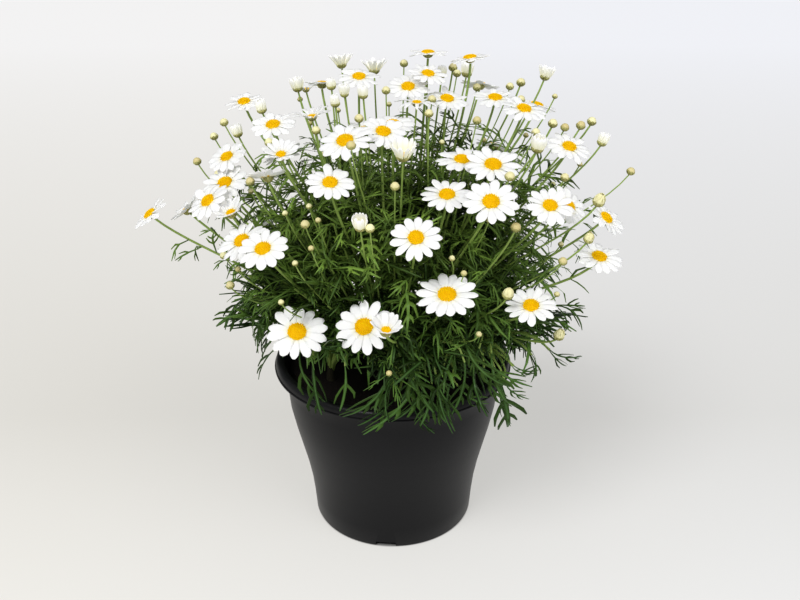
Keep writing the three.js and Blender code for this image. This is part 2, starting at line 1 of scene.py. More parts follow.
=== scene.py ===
import math
import bmesh
import bpy
import numpy as np
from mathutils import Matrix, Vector


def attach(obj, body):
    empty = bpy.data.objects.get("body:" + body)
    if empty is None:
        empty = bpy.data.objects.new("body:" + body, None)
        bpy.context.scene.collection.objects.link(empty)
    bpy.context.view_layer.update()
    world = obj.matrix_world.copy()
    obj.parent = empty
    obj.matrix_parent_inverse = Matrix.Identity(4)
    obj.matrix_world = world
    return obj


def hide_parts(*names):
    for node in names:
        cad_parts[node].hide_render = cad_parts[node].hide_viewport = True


# Potted marguerite daisy in a charcoal nursery pot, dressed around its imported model.
# Plans are in millimetres with +Z up, and meshes are written in metres.

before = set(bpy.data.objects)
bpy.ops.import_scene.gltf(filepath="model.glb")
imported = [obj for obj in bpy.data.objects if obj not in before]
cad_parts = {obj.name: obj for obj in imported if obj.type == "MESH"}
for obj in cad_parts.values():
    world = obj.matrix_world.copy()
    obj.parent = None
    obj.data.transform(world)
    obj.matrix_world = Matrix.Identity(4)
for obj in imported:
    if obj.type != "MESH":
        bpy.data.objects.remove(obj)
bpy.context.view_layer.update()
bpy.ops.object.select_all(action="DESELECT")
mm = 0.001
upward = np.array((0.0, 0.0, 1.0))
goldenAngle = 2.39996  # radians from one floret, leaf or shoot to the next


# Camera, where the photograph was taken from
lens = {
    "place": Vector((0, -750, 561)),
    "pitch": math.radians(25.06),  # down from level
    "yaw": math.radians(0.49),  # to the right
    "length": 949,  # in picture columns
    "columns": 800,
    "rows": 600,
    "sensor": 36,
}

bpy.ops.object.camera_add(
    location=lens["place"] * mm, rotation=(math.pi / 2 - lens["pitch"], 0, -lens["yaw"]))
camera = bpy.context.object
camera.data.sensor_width = lens["sensor"]
camera.data.lens = lens["length"] * lens["sensor"] / lens["columns"]
camera.data.clip_end = 50
bpy.context.scene.camera = camera

sightForward = Vector((
    math.sin(lens["yaw"]) * math.cos(lens["pitch"]),
    math.cos(lens["yaw"]) * math.cos(lens["pitch"]), -math.sin(lens["pitch"])))
sightRight = Vector((math.cos(lens["yaw"]), -math.sin(lens["yaw"]), 0))
sightUp = sightRight.cross(sightForward)
eye = np.array(lens["place"])


def sightLine(column, row):
    across = (column - lens["columns"] / 2) / lens["length"]
    high = (lens["rows"] / 2 - row) / lens["length"]
    return sightForward + sightRight * across + sightUp * high


def placeSeen(column, row, depth):
    # the place on a sight line that lies at a depth behind the pot's axis
    line = sightLine(column, row)
    return np.array(lens["place"] + line * ((depth - lens["place"].y) / line.y))


def seenAt(points):
    # columns, rows and depths where places show in the picture
    off = points - eye
    depths = off @ np.array(sightForward)
    columns = lens["columns"] / 2 + lens["length"] * (off @ np.array(sightRight)) / depths
    rows = lens["rows"] / 2 - lens["length"] * (off @ np.array(sightUp)) / depths
    return columns, rows, depths


def share(value):
    return value - math.floor(value)


# Repeatable draws between 0 and 1, and values spread by them
def draw(key):
    return share(math.sin(key * 12.9898) * 43758.5453)


def ranged(low, span, key):
    return low + span * draw(key)


def swing(span, key, middle=0.5):
    return span * (draw(key) - middle)


def limited(value, low=0, high=1):
    return min(max(value, low), high)


def unit(vector):
    return vector / np.linalg.norm(vector)


def turnedAbout(vector, axis, angle):
    return (vector * math.cos(angle) + np.cross(axis, vector) * math.sin(angle)
            + axis * np.dot(axis, vector) * (1 - math.cos(angle)))


# Plan of the bush: a middle hexagon and six sectors round it, one for each leafy stem
bush = {
    "middleApothem": 38,
    "sectorStart": 44,  # least reach at which a sector's stalks and shoots start
    "firstTurn": -90,
    "stemRing": 62,
    "stemTop": 152,
    "shootLow": 198,
    "forkHigh": 264,
    "waist": [(158, 64), (188, 94), (232, 104), (268, 96), (298, 68)],  # height, reach
    "outside": ((0, 0, 232), (158, 146, 128)),  # middle and halves of the round foliage
}
middleRegion = 6
stemNames = ["leafy_stem_%d" % (sector + 1) for sector in range(6)] + ["leafy_stem_middle"]
regionTags = ["front", "frontRight", "backRight", "back", "backLeft", "frontLeft", "middle"]


def sectorAxis(sector):
    turn = math.radians(bush["firstTurn"] + sector * 60)
    return np.array((math.cos(turn), math.sin(turn), 0.0))


def inSector(sector, point):
    axis = sectorAxis(sector)
    return point[0] * axis[0] + point[1] * axis[1], point[1] * axis[0] - point[0] * axis[1]


def fromSector(sector, along, aside, z):
    axis = sectorAxis(sector)
    return np.array((axis[0] * along - axis[1] * aside, axis[1] * along + axis[0] * aside, z))


def regionOf(point):
    reaches = [inSector(sector, point)[0] for sector in range(6)]
    furthest = max(reaches)
    return middleRegion if furthest < bush["middleApothem"] else reaches.index(furthest)


def pulledInside(region, point, room):
    if region == middleRegion:
        furthest = max(inSector(sector, point)[0] for sector in range(6))
        shrink = min(1, (bush["middleApothem"] - room) / max(furthest, 0.001))
        return np.array((point[0] * shrink, point[1] * shrink, point[2]))
    along, aside = inSector(region, point)
    kept = max(along, bush["middleApothem"] + room)
    widest = (kept * 0.5 - room) / math.sqrt(0.75)
    return fromSector(region, kept, limited(aside, -widest, widest), point[2])


def stemPlace(region):
    return fromSector(region, bush["stemRing"], 0, 0) if region < middleRegion else np.zeros(3)


# Heads: open blooms from the frame's nodes, young ones, half-open cups and buds by their sight
heads = {
    "discShare": 0.3,
    "plate": 0.8,
    "ring": (0.45, 0.5),  # share of a node's reach, and lift over its lowest, that find its ring
    "seats": {"bloom": 4.55, "young": 4.2},  # from a head's middle down to its stalk's end
    "cupSeat": (4, 3.2),  # the same when shut, and more when open
    "leanOut": 500,  # reach at which a bud would lean by 45 degrees
    "drum": (-3.5, 4.5),  # the heights that a bloom fills
    "shown": 40,  # blooms, by number, that the picture shows; the others are behind
    "clear": 0.6,  # share of a bloom's radius that no leaf hides
    "opening": {"bloom_03": 0.8, "bloom_20": 0.6, "bloom_28": 0.55},  # rise of their petals
    "firstYoung": 61,  # numbers seed the draws of a head
    "firstHidden": 141,
    "firstSmall": 201,
    # column, row, depth, width, lean, way
    "young": [
        (187, 210, -10, 30, 41, -91), (268, 177, -60, 34, 24, -156), (365, 130, -4, 32, 5, 21)],
    # kind and first number, then column, row, depth, width, and how far each cup has opened
    "seen": [
        ("cup", 71, [
            (237, 131, 10, 9.5, 0.45), (261, 107, -6, 9.5, 0.45), (297, 85, 34, 10.5, 0.6),
            (341, 60, 60, 12.5, 1), (335, 101, -22, 8.5, 0.3), (363, 92, -6, 9, 0.5),
            (360, 224, -125, 10.5, 0.6), (467, 71, 66, 11, 0.5), (546, 73, 46, 11, 0.75),
            (538, 146, -45, 12.5, 0.55), (403, 153, -78, 15, 0.8), (603, 140, -10, 9.5, 0.4),
            (599, 201, -90, 10, 0.15), (589, 238, -92, 8.4, 0.1), (508, 294, -118, 9.4, 0.05),
            (559, 335, -98, 9.4, 0.1), (311, 112, -20, 14, 1.5), (374, 66, 66, 13.5, 1),
            (417, 98, -5, 16, 1.8), (305, 84, 62, 11, 1.5)]),
        ("bud", 101, [
            (214, 136, 25, 6.6), (197, 161, 8, 6.6), (351, 145, -112, 6.6), (395, 186, -100, 6.6),
            (224, 255, -45, 6.6), (230, 285, -80, 6.6), (404, 63, 60, 6.6), (521, 82, 54, 7.3),
            (592, 121, 10, 7.3), (631, 171, -20, 6.6), (510, 176, -95, 7.3), (516, 227, -115, 7.3)]),
        # heads that branch from a neighbour's stalk on the plant; here each is given its own stalk, as
        # the others are
        ("cup", 161, [(331, 84, 16, 8.5, 0.3), (344, 90, -2, 8.5, 0.6), (442, 72, 60, 9, 0.3)]),
        ("bud", 171, [
            (224, 122, 10, 6.6), (269, 142, -48, 6.6), (316, 130, -40, 6.6), (359, 118, -52, 6.6),
            (386, 90, 6, 6.6), (250, 181, -65, 6.6), (305, 224, -98, 6.6), (370, 228, -128, 6.6),
            (453, 67, 72, 7.3), (457, 73, 66, 6.6), (477, 87, 42, 6.6), (510, 86, 48, 6.6),
            (553, 123, -15, 7.3), (565, 127, -8, 6.6), (581, 125, 0, 7.3), (536, 132, -34, 6.6),
            (429, 113, -36, 6.6), (432, 99, -4, 6.6), (477, 120, -12, 6.6), (565, 177, -48, 6.6),
            (563, 261, -92, 6.6), (521, 99, 10, 6.6)])],
    "hiddenBuds": [(-160, 92, 296, 8), (-10, 168, 300, 8)],  # x, y, z, width, behind the foliage
    # column, row: small green buds on the outside of the foliage
    "smallBuds": [
        (300, 99), (338, 110), (310, 123), (389, 104), (251, 191), (324, 154), (309, 206),
        (285, 213), (318, 220), (311, 248), (238, 269), (281, 302), (295, 263), (555, 96),
        (526, 135), (442, 142), (484, 140), (553, 184), (580, 164), (561, 244), (557, 294),
        (464, 273), (452, 258), (489, 220), (479, 334), (389, 373)],
    "smallWidth": 4.4,
}


def pointsOf(mesh):
    points = np.empty(len(mesh.vertices) * 3)
    mesh.vertices.foreach_get("co", points)
    return points.reshape(-1, 3)


def flatWay(points):
    # the way up from the plane that points lie near
    way = np.linalg.svd(points - points.mean(0))[2][2]
    return way if way[2] > 0 else -way


def bloomFromNode(name):
    # the lowest flat ring of a bloom's plate gives its middle, way and width
    points = np.unique(np.round(pointsOf(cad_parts[name].data) / mm, 3), axis=0)
    off = points - points.mean(0)
    lift = off @ flatWay(points)
    level = np.sqrt(np.maximum((off ** 2).sum(1) - lift ** 2, 0))
    within, over = heads["ring"]
    near = level < level.max() * within
    low = points[near & (lift < lift[near].min() + over)]
    centre, way = low.mean(0), flatWay(low)
    ring = np.linalg.norm(low - centre, axis=1).mean()
    return {
        "kind": "bloom", "node": name, "number": int(name.split("_")[1]),
        "place": centre + way * heads["plate"], "way": way, "width": 2 * ring / heads["discShare"]}


def leantWay(lean, way):
    tilt, turn = math.radians(lean), math.radians(way)
    return np.array((math.sin(tilt) * math.sin(turn), -math.sin(tilt) * math.cos(turn), math.cos(tilt)))


def onBush(column, row):
    # where a sight line first meets the round outside of the foliage
    middle, halves = (np.array(size) for size in bush["outside"])
    line = np.array(sightLine(column, row))
    start = eye - middle
    a = ((line / halves) ** 2).sum()
    b = 2 * (line * start / halves ** 2).sum()
    c = ((start / halves) ** 2).sum() - 1
    root = b * b - 4 * a * c
    reach = (-b - math.sqrt(root)) / (2 * a) if root > 0 else -b / (2 * a)
    return eye + line * reach


def addHead(made, kind, number, place, width, opened=0, way=None):
    if way is None:
        way = unit(np.array((place[0] / heads["leanOut"], place[1] / heads["leanOut"], 1)))
    made.append({
        "kind": kind, "number": number, "place": place, "width": width, "opened": opened, "way": way})


def seatOf(head):
    if head["kind"] == "cup":
        shut, more = heads["cupSeat"]
        return shut + more * min(head["opened"], 1)
    return heads["seats"].get(head["kind"], head["width"] * 0.5)


def makeHeads():
    made = [bloomFromNode(name) for name in sorted(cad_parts) if name.startswith("bloom_")]
    for index, (column, row, depth, width, lean, way) in enumerate(heads["young"]):
        place = placeSeen(column, row, depth)
        addHead(made, "young", heads["firstYoung"] + index, place, width, 0, leantWay(lean, way))
    for kind, first, table in heads["seen"]:
        for index, (column, row, depth, *size) in enumerate(table):
            addHead(made, kind, first + index, placeSeen(column, row, depth), *size)
    for index, (x, y, z, width) in enumerate(heads["hiddenBuds"]):
        addHead(made, "bud", heads["firstHidden"] + index, np.array((x, y, z), float), width)
    for index, (column, row) in enumerate(heads["smallBuds"]):
        place = onBush(column, row)
        addHead(made, "bud", heads["firstSmall"] + index, place, heads["smallWidth"])
    for head in made:
        head["foot"] = head["place"] - head["way"] * seatOf(head)
        head["region"] = regionOf(head["foot"])
    return made


allHeads = makeHeads()
blooms = [head for head in allHeads if head["kind"] == "bloom"]
bloomPlaces = np.array([bloom["place"] for bloom in blooms])
bloomWays = np.array([bloom["way"] for bloom in blooms])
bloomHalves = np.array([bloom["width"] / 2 for bloom in blooms])
# column, row and depth of the blooms that the picture shows, and the reach that leaves keep clear
bloomSeen = [*seenAt(bloomPlaces)]
bloomSeen.append(heads["clear"] * bloomHalves * lens["length"] / bloomSeen[2])
bloomSeen = [values[:heads["shown"]] for values in bloomSeen]
print("heads", len(allHeads), "of which open", len(blooms))


def crossesBloom(points, room, own=None):
    # true where a row of points enters the flat drum that a bloom fills
    low, high = heads["drum"]
    off = points[:, None, :] - bloomPlaces[None]
    lift = (off * bloomWays).sum(2)
    level = np.sqrt(np.maximum((off ** 2).sum(2) - lift ** 2, 0))
    inside = (level < bloomHalves + room) & (lift > low - room) & (lift < high + room)
    if own is not None:
        inside[:, own] = False
    return bool(inside.any())


def hidesBloom(points):
    # true where points pass in front of one of the blooms that the picture shows
    columns, rows, depths = seenAt(points)
    off = np.hypot(columns[:, None] - bloomSeen[0], rows[:, None] - bloomSeen[1])
    return bool(((depths[:, None] < bloomSeen[2]) & (off < bloomSeen[3])).any())


# Flower stalks
stalk = {
    "bare": 105,  # length above the fork
    "start": (0.45, 0.12),  # how far out a stalk starts, as a share of its head's reach
    "waistShare": 0.7,  # and at most, as a share of the bush's waist
    "rise": 0.3,  # shares of its span that shape its bend
    "arrive": 0.28,
    "asides": (0, 10, -10, 18, -18, 28, -28),  # bends and starts, tried until it clears the blooms
    "insets": (0, 0.16, -0.16, 0.3),
    "room": 1.8,
    "keepIn": 3,  # room to its sector's sides
    "points": 14,
    "lowPoints": 6,
    "lowRise": 25,
    "radii": {"bloom": 0.95, "young": 0.95, "cup": 0.75, "bud": 0.75},
    "slim": (7, 0.55),  # under heads narrower than this, its radius
    "footRadius": 1.5,
    "swell": 1.15,  # of its radius at the fork
}


def bezier(corners, count):
    t = np.linspace(0, 1, count)[:, None]
    a, b, c, d = corners
    return a * (1 - t) ** 3 + b * 3 * t * (1 - t) ** 2 + c * 3 * t * t * (1 - t) + d * t ** 3


def fromStem(region, rise, bend, end, count):
    # the hidden lower route, from the top of a stem's wood to where a shoot or stalk starts
    top = stemPlace(region) + upward * bush["stemTop"]
    return bezier([top, top + upward * rise, bend, end], count)


def stalkCorners(head, aside, inset):
    region, foot = head["region"], head["foot"]
    z = limited(foot[2] - stalk["bare"], bush["shootLow"], bush["forkHigh"])
    if region == middleRegion:
        start = np.array((foot[0] * 0.5, foot[1] * 0.5, z))
    else:
        along, off = inSector(region, foot)
        out = ranged(*stalk["start"], head["number"] * 3 + 1) + inset
        heights, reaches = zip(*bush["waist"])
        furthest = float(np.interp(z, heights, reaches)) * stalk["waistShare"]
        reach = limited(along * out, bush["sectorStart"], furthest)
        start = fromSector(region, reach, off * reach / along, z)
    span = np.linalg.norm(foot - start)
    level = unit(np.array((-foot[1], foot[0], 0)))
    straight = unit(foot - start)
    rise = start + unit(upward + straight) * span * stalk["rise"] + level * aside
    arrive = foot - unit(head["way"] + straight) * span * stalk["arrive"] + level * aside
    return [pulledInside(region, point, stalk["keepIn"]) for point in (start, rise, arrive)] + [foot]


def stalkRoute(head):
    # the first bend that keeps out of the blooms, or else the plain one
    own = next((index for index, bloom in enumerate(blooms) if bloom is head), None)
    for aside in stalk["asides"]:
        for inset in stalk["insets"]:
            points = bezier(stalkCorners(head, aside, inset), stalk["points"])
            if not crossesBloom(points, stalk["room"], own):
                return points
    return bezier(stalkCorners(head, 0, 0), stalk["points"])


def planStalks():
    # for each region, the upper routes that carry leaves, and whole routes with their radii
    upper = [[] for tag in regionTags]
    whole = [[] for tag in regionTags]
    for head in allHeads:
        route = stalkRoute(head)
        bend = route[0] - (route[1] - route[0])
        lower = fromStem(head["region"], stalk["lowRise"], bend, route[0], stalk["lowPoints"])
        narrow, slim = stalk["slim"]
        radius = slim if head["width"] < narrow else stalk["radii"][head["kind"]]
        points = np.concatenate([lower[:-1], route])
        radii = np.interp(
            np.arange(len(points)), [0, stalk["lowPoints"] - 1, len(points) - 1],
            [stalk["footRadius"], radius * stalk["swell"], radius])
        upper[head["region"]].append(route)
        whole[head["region"]].append((points, radii))
    return upper, whole


# Modelling helpers
def setAll(thing, settings):
    for name, value in settings.items():
        setattr(thing, name, value)


def opened():
    # the primitive just added, in edit mode
    made = bpy.context.object
    bpy.ops.object.mode_set(mode="EDIT")
    return made


def pick(obj, kind, test):
    # in edit mode, selects the vertices, edges or faces whose middle passes the test
    bpy.ops.mesh.select_mode(type=kind)
    bpy.ops.mesh.select_all(action="DESELECT")
    mesh = bmesh.from_edit_mesh(obj.data)
    parts = {"VERT": mesh.verts, "EDGE": mesh.edges, "FACE": mesh.faces}[kind]
    for part in parts:
        corners = [part] if kind == "VERT" else list(part.verts)
        spot = sum((corner.co for corner in corners), Vector()) / len(corners)
        if test(spot):
            part.select_set(True)
    mesh.select_flush(True)
    bmesh.update_edit_mesh(obj.data)


def growEdge(obj, spot, move, narrow, turn):
    # extrudes the edge at a spot, narrows and turns its far end and returns where that is
    pick(obj, "EDGE", lambda at: (at - spot).length < 1e-4)
    bpy.ops.mesh.extrude_region_move(TRANSFORM_OT_translate={"value": move})
    end = spot + Vector(move)
    bpy.ops.transform.resize(value=(narrow, narrow, narrow), center_override=end)
    bpy.ops.transform.rotate(value=math.radians(turn), orient_axis="Z", center_override=end)
    return end


def finishWith(obj, kind, **settings):
    # adds a modifier to the active object and applies it
    bpy.ops.object.mode_set(mode="OBJECT")
    bpy.ops.object.modifier_add(type=kind)
    setAll(obj.modifiers[-1], settings)
    bpy.ops.object.modifier_apply(modifier=obj.modifiers[-1].name)


def faceOut():
    bpy.ops.object.mode_set(mode="EDIT")
    bpy.ops.mesh.select_all(action="SELECT")
    bpy.ops.mesh.normals_make_consistent(inside=False)
    bpy.ops.object.mode_set(mode="OBJECT")


def takeForm(obj):
    # a finished shape as arrays, to be copied; the object itself goes
    faceOut()
    mesh = obj.data
    corners = np.empty(len(mesh.loops), np.int64)
    sizes = np.empty(len(mesh.polygons), np.int64)
    mesh.loops.foreach_get("vertex_index", corners)
    mesh.polygons.foreach_get("loop_total", sizes)
    form = {"points": pointsOf(mesh), "corners": corners, "sizes": sizes}
    bpy.data.objects.remove(obj)
    return form


def dress(piece, finish, nodes=()):
    piece.data.materials.clear()
    piece.data.materials.append(finishes[finish])
    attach(piece, "root")
    if nodes:
        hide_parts(*nodes)


def buildPiece(name, copies, finish, nodes=()):
    # one mesh from placed copies; each copy is (form, points in millimetres, tone)
    forms, places, tones = zip(*copies)
    firsts = np.cumsum([0] + [len(points) for points in places])
    corners = np.concatenate([form["corners"] + first for form, first in zip(forms, firsts)])
    sizes = np.concatenate([form["sizes"] for form in forms])
    flow = np.concatenate([form["points"][:, :2] for form in forms])
    tones = np.repeat(tones, [len(points) for points in places])
    places = np.concatenate(places) * mm
    mesh = bpy.data.meshes.new(name)
    mesh.vertices.add(len(places))
    mesh.vertices.foreach_set("co", places.ravel())
    mesh.loops.add(len(corners))
    mesh.loops.foreach_set("vertex_index", corners)
    mesh.polygons.add(len(sizes))
    mesh.polygons.foreach_set("loop_start", np.cumsum(sizes) - sizes)
    mesh.polygons.foreach_set("use_smooth", np.ones(len(sizes), bool))
    mesh.update(calc_edges=True)
    mesh.validate()
    mesh.uv_layers.new(name="flow").data.foreach_set("uv", flow[corners].ravel())
    mesh.attributes.new("tone", "FLOAT", "POINT").data.foreach_set("value", tones)
    piece = bpy.data.objects.new(name, mesh)
    bpy.context.scene.collection.objects.link(piece)
    dress(piece, finish, nodes)


def drawTubes(name, routes, finish):
    # round stalks along routes of (points, radii) in millimetres
    line = bpy.data.curves.new(name, "CURVE")
    setAll(line, {"dimensions": "3D", "bevel_depth": mm, "bevel_resolution": 1, "use_fill_caps": True})
    for points, radii in routes:
        spline = line.splines.new("POLY")
        spline.points.add(len(points) - 1)
        spline.points.foreach_set("co", np.c_[points * mm, np.ones(len(points))].ravel())
        spline.points.foreach_set("radius", radii)
    piece = bpy.data.objects.new(name, line)
    bpy.context.scene.collection.objects.link(piece)
    bpy.ops.object.select_all(action="DESELECT")
    piece.select_set(True)
    bpy.context.view_layer.objects.active = piece
    bpy.ops.object.convert(target="MESH")
    bpy.ops.object.shade_smooth()
    dress(bpy.context.object, finish)


# Shader nodes
def addNode(tree, kind, inputs=None, **settings):
    node = tree.nodes.new("ShaderNode" + kind)
    setAll(node, settings)
    for entry, value in (inputs or {}).items():
        node.inputs[entry].default_value = value
    return node


def addRange(tree, start, end, first=0, last=1):
    return addNode(
        tree, "MapRange", {"From Min": start, "From Max": end, "To Min": first, "To Max": last})


def addMix(tree, inputs=None, **settings):
    return addNode(tree, "Mix", inputs, data_type="RGBA", **settings)


def wire(tree, *wires):
    # each wire is a node and its output, then the next node and its input
    for source, output, target, entry in wires:
        tree.links.new(source.outputs[output], target.inputs[entry])


def makeMottle():
    # a group that several finishes share: two colours blended by noise and by each copy's own tone,
    # which for the leaves carries painted shade and light
    group = bpy.data.node_groups.new("mottle", "ShaderNodeTree")
    sockets = [
        ("INPUT", "Scale", "Float", 200), ("INPUT", "Dark", "Color", (0, 0, 0, 1)),
        ("INPUT", "Light", "Color", (1, 1, 1, 1)), ("INPUT", "Spread", "Float", 0.5),
        ("OUTPUT", "Color", "Color", (0, 0, 0, 1)), ("OUTPUT", "Height", "Float", 0)]
    for side, name, kind, value in sockets:
        socket = group.interface.new_socket(name=name, in_out=side, socket_type="NodeSocket" + kind)
        socket.default_value = value
    inside = group.nodes.new("NodeGroupInput")
    out = group.nodes.new("NodeGroupOutput")
    spot = addNode(group, "TexCoord")
    noise = addNode(group, "TexNoise", {"Detail": 4, "Roughness": 0.6})
    tone = addNode(group, "Attribute", attribute_name="tone")
    blend = addNode(group, "Mix", data_type="FLOAT")
    colours = addMix(group)
    wire(
        group, (spot, "Object", noise, "Vector"), (inside, "Scale", noise, "Scale"),
        (inside, "Spread", blend, 0), (noise, "Fac", blend, 2), (tone, "Fac", blend, 3),
        (blend, 0, colours, 0), (inside, "Dark", colours, 6), (inside, "Light", colours, 7),
        (colours, 2, out, "Color"), (noise, "Fac", out, "Height"))
    return group


mottle = makeMottle()


def newFinish(name, roughness, specular):
    material = bpy.data.materials.new(name)
    material.use_nodes = True
    shader = material.node_tree.nodes["Principled BSDF"]
    shader.inputs["Roughness"].default_value = roughness
    shader.inputs["Specular IOR Level"].default_value = specular
    return material, material.node_tree, shader


def addBump(tree, source, output, strength, distance):
    bump = addNode(tree, "Bump", {"Strength": strength, "Distance": distance})
    shader = tree.nodes["Principled BSDF"]
    wire(tree, (source, output, bump, "Height"), (bump, "Normal", shader, "Normal"))


def addMottle(tree, scale, dark, light, spread, bump):
    blend = addNode(tree, "Group", node_tree=mottle)
    values = {"Scale": scale, "Dark": (*dark, 1), "Light": (*light, 1), "Spread": spread}
    for entry, value in values.items():
        blend.inputs[entry].default_value = value
    addBump(tree, blend, "Height", bump, 0.0003)
    wire(tree, (blend, "Color", tree.nodes["Principled BSDF"], "Base Color"))
    return blend


def makeLeafGreen():
    # darker blades with a paler midrib, bluer low on the plant
    material, tree, shader = newFinish("leafGreen", 0.35, 0.12)
    blend = addMottle(tree, 90, (0.003, 0.010, 0.002), (0.225, 0.345, 0.066), 0.88, 0.3)
    flow = addNode(tree, "UVMap", uv_map="flow")
    split = addNode(tree, "SeparateXYZ")
    offRib = addNode(tree, "Math", operation="ABSOLUTE")
    ribShare = addRange(tree, 0.004, 0.02, 0.45, 0)
    rib = addMix(tree, {7: (0.15, 0.25, 0.08, 1)})
    spot = addNode(tree, "TexCoord")
    height = addNode(tree, "SeparateXYZ")
    low = addRange(tree, 0.17, 0.30, 1, 0)
    bluer = addMix(tree, {7: (0.78, 0.98, 1.05, 1)}, blend_type="MULTIPLY")
    wire(
        tree, (flow, "UV", split, 0), (split, "Y", offRib, 0), (offRib, 0, ribShare, "Value"),
        (ribShare, "Result", rib, 0), (blend, "Color", rib, 6),
        (spot, "Object", height, 0), (height, "Z", low, "Value"), (low, "Result", bluer, 0),
        (rib, 2, bluer, 6), (bluer, 2, shader, "Base Color"))
    return material


def makePetalWhite(name, base, reach, glow):
    # white with faint lengthwise streaks, and a tinted base that fades out along the petal; the petals
    # also glow, painted light for what shines through them
    material, tree, shader = newFinish(name, 0.6, 0.15)
    # emission in the petal's own colour: painted light, standing in for light shining through the thin
    # petals
    shader.inputs["Emission Strength"].default_value = glow
    shader.inputs["Subsurface Weight"].default_value = 0.3
    shader.inputs["Subsurface Radius"].default_value = (1, 1, 0.9)
    shader.inputs["Subsurface Scale"].default_value = 0.0015
    flow = addNode(tree, "UVMap", uv_map="flow")
    split = addNode(tree, "SeparateXYZ")
    stripes = addNode(tree, "Math", {1: 60}, operation="MULTIPLY")
    wave = addNode(tree, "Math", operation="SINE")
    warm = addRange(tree, 0, reach)
    ramp = addMix(tree, {6: (*base, 1), 7: (0.83, 0.83, 0.82, 1)})
    wire(
        tree, (flow, "UV", split, 0), (split, "Y", stripes, 0), (stripes, 0, wave, 0),
        (split, "X", warm, "Value"), (warm, "Result", ramp, 0),
        (ramp, 2, shader, "Base Color"), (ramp, 2, shader, "Emission Color"))
    addBump(tree, wave, 0, 0.35, 0.0002)
    return material


def makePlain(name, roughness, scale, dark, light, spread, bump, specular=0.4):
    material, tree, shader = newFinish(name, roughness, specular)
    addMottle(tree, scale, dark, light, spread, bump)
    return material


finishes = {
    "leaf": makeLeafGreen(),
    "petal": makePetalWhite("petalWhite", (0.80, 0.79, 0.58), 0.35, 0.09),
    "crown": makePetalWhite("crownWhite", (0.81, 0.79, 0.52), 0.9, 0.2),
    "stalk": makePlain("stalkGreen", 0.5, 60, (0.20, 0.30, 0.06), (0.42, 0.54, 0.17), 0.2, 0.3),
    "wood": makePlain("stemBrown", 0.8, 120, (0.02, 0.018, 0.010), (0.05, 0.045, 0.022), 0.2, 0.8),
    "disc": makePlain("discGold", 0.6, 400, (0.84, 0.46, 0.001), (0.90, 0.70, 0.002), 0.6, 0.3, 0.15),
    "calyx": makePlain("calyxGreen", 0.55, 300, (0.24, 0.23, 0.07), (0.55, 0.54, 0.22), 0.6, 0.3),
    "bud": makePlain("budCream", 0.5, 300, (0.56, 0.46, 0.20), (0.90, 0.88, 0.54), 0.75, 0.2),
    "soil": makePlain("pottingSoil", 0.95, 350, (0.003, 0.002, 0.002), (0.022, 0.012, 0.008), 0.4, 1),
    "pot": makePlain(
        "potCharcoal", 0.38, 500, (0.007, 0.007, 0.008), (0.011, 0.011, 0.012), 0, 0.2, 0.24),
}


# Pot: a disc raised and widened ring by ring, turned over at the rim and sunk inside
pot = {
    "sides": 112,
    "wall": [(71, 0), (72.2, 0.5), (73.1, 2.5), (74.4, 20), (76.4, 38), (79.9, 57), (84.4, 76),
             (89.0, 95), (92.9, 114), (94.6, 133), (95.3, 149.4), (95.9, 150.2)],
    "rim": [(103.4, 150.9), (104.4, 150.9), (105.1, 151.3), (105.3, 152.0), (105.0, 152.7),
            (104.3, 153.0), (104.3, 154.9), (103.6, 156.8),
            (102.6, 158.4), (100.8, 159.3), (99.0, 159.5), (97.4, 159.3), (96.4, 158.2)],
    "inside": [(93.3, 150), (88.5, 113), (82.4, 76), (77.6, 57), (74.4, 38), (71.1, 3)],
    "slots": 4,
    "slotTurn": -5.5,
    "slotSize": (18, 9, 10),  # wide, deep, high over both sides of the foot
    "slotEdge": 1.2,
    "foot": 73.1,
    "smooth": 38,  # degrees, past which an edge stays sharp
}


def turnRings(name, sides, rings):
    radius, height = rings[0]
    bpy.ops.mesh.primitive_circle_add(
        vertices=sides, radius=radius * mm, fill_type="NGON", location=(0, 0, height * mm))
    made = bpy.context.object
    made.name = name
    bpy.ops.object.transform_apply(location=True, rotation=True, scale=True)
    bpy.ops.object.mode_set(mode="EDIT")
    bpy.ops.mesh.select_all(action="SELECT")
    for newRadius, newHeight in rings[1:]:
        bpy.ops.mesh.extrude_region_move(
            TRANSFORM_OT_translate={"value": (0, 0, (newHeight - height) * mm)})
        grown = newRadius / radius
        bpy.ops.transform.resize(value=(grown, grown, 1), center_override=(0, 0, 0))
        radius, height = newRadius, newHeight
    faceOut()
    return made


def makePot():
    made = turnRings("potShell", pot["sides"], pot["wall"] + pot["rim"] + pot["inside"])
    foot = pot["foot"] * mm
    for slot in range(pot["slots"]):
        turn = math.radians(pot["slotTurn"] + slot * 360 / pot["slots"])
        bpy.ops.mesh.primitive_cube_add(
            size=mm, location=(foot * math.sin(turn), -foot * math.cos(turn), 0))
        cutter = bpy.context.object
        cutter.scale = pot["slotSize"]
        cutter.rotation_euler = (0, 0, turn)
        bpy.ops.object.transform_apply(location=True, rotation=True, scale=True)
        finishWith(cutter, "BEVEL", width=pot["slotEdge"] * mm, segments=2)
        bpy.context.view_layer.objects.active = made
        finishWith(made, "BOOLEAN", operation="DIFFERENCE", object=cutter)
        bpy.data.objects.remove(cutter)
    bpy.ops.object.select_all(action="DESELECT")
    made.select_set(True)
    bpy.ops.object.shade_smooth_by_angle(angle=math.radians(pot["smooth"]))
    dress(made, "pot", ["pot"])
    print("pot", len(made.data.polygons))


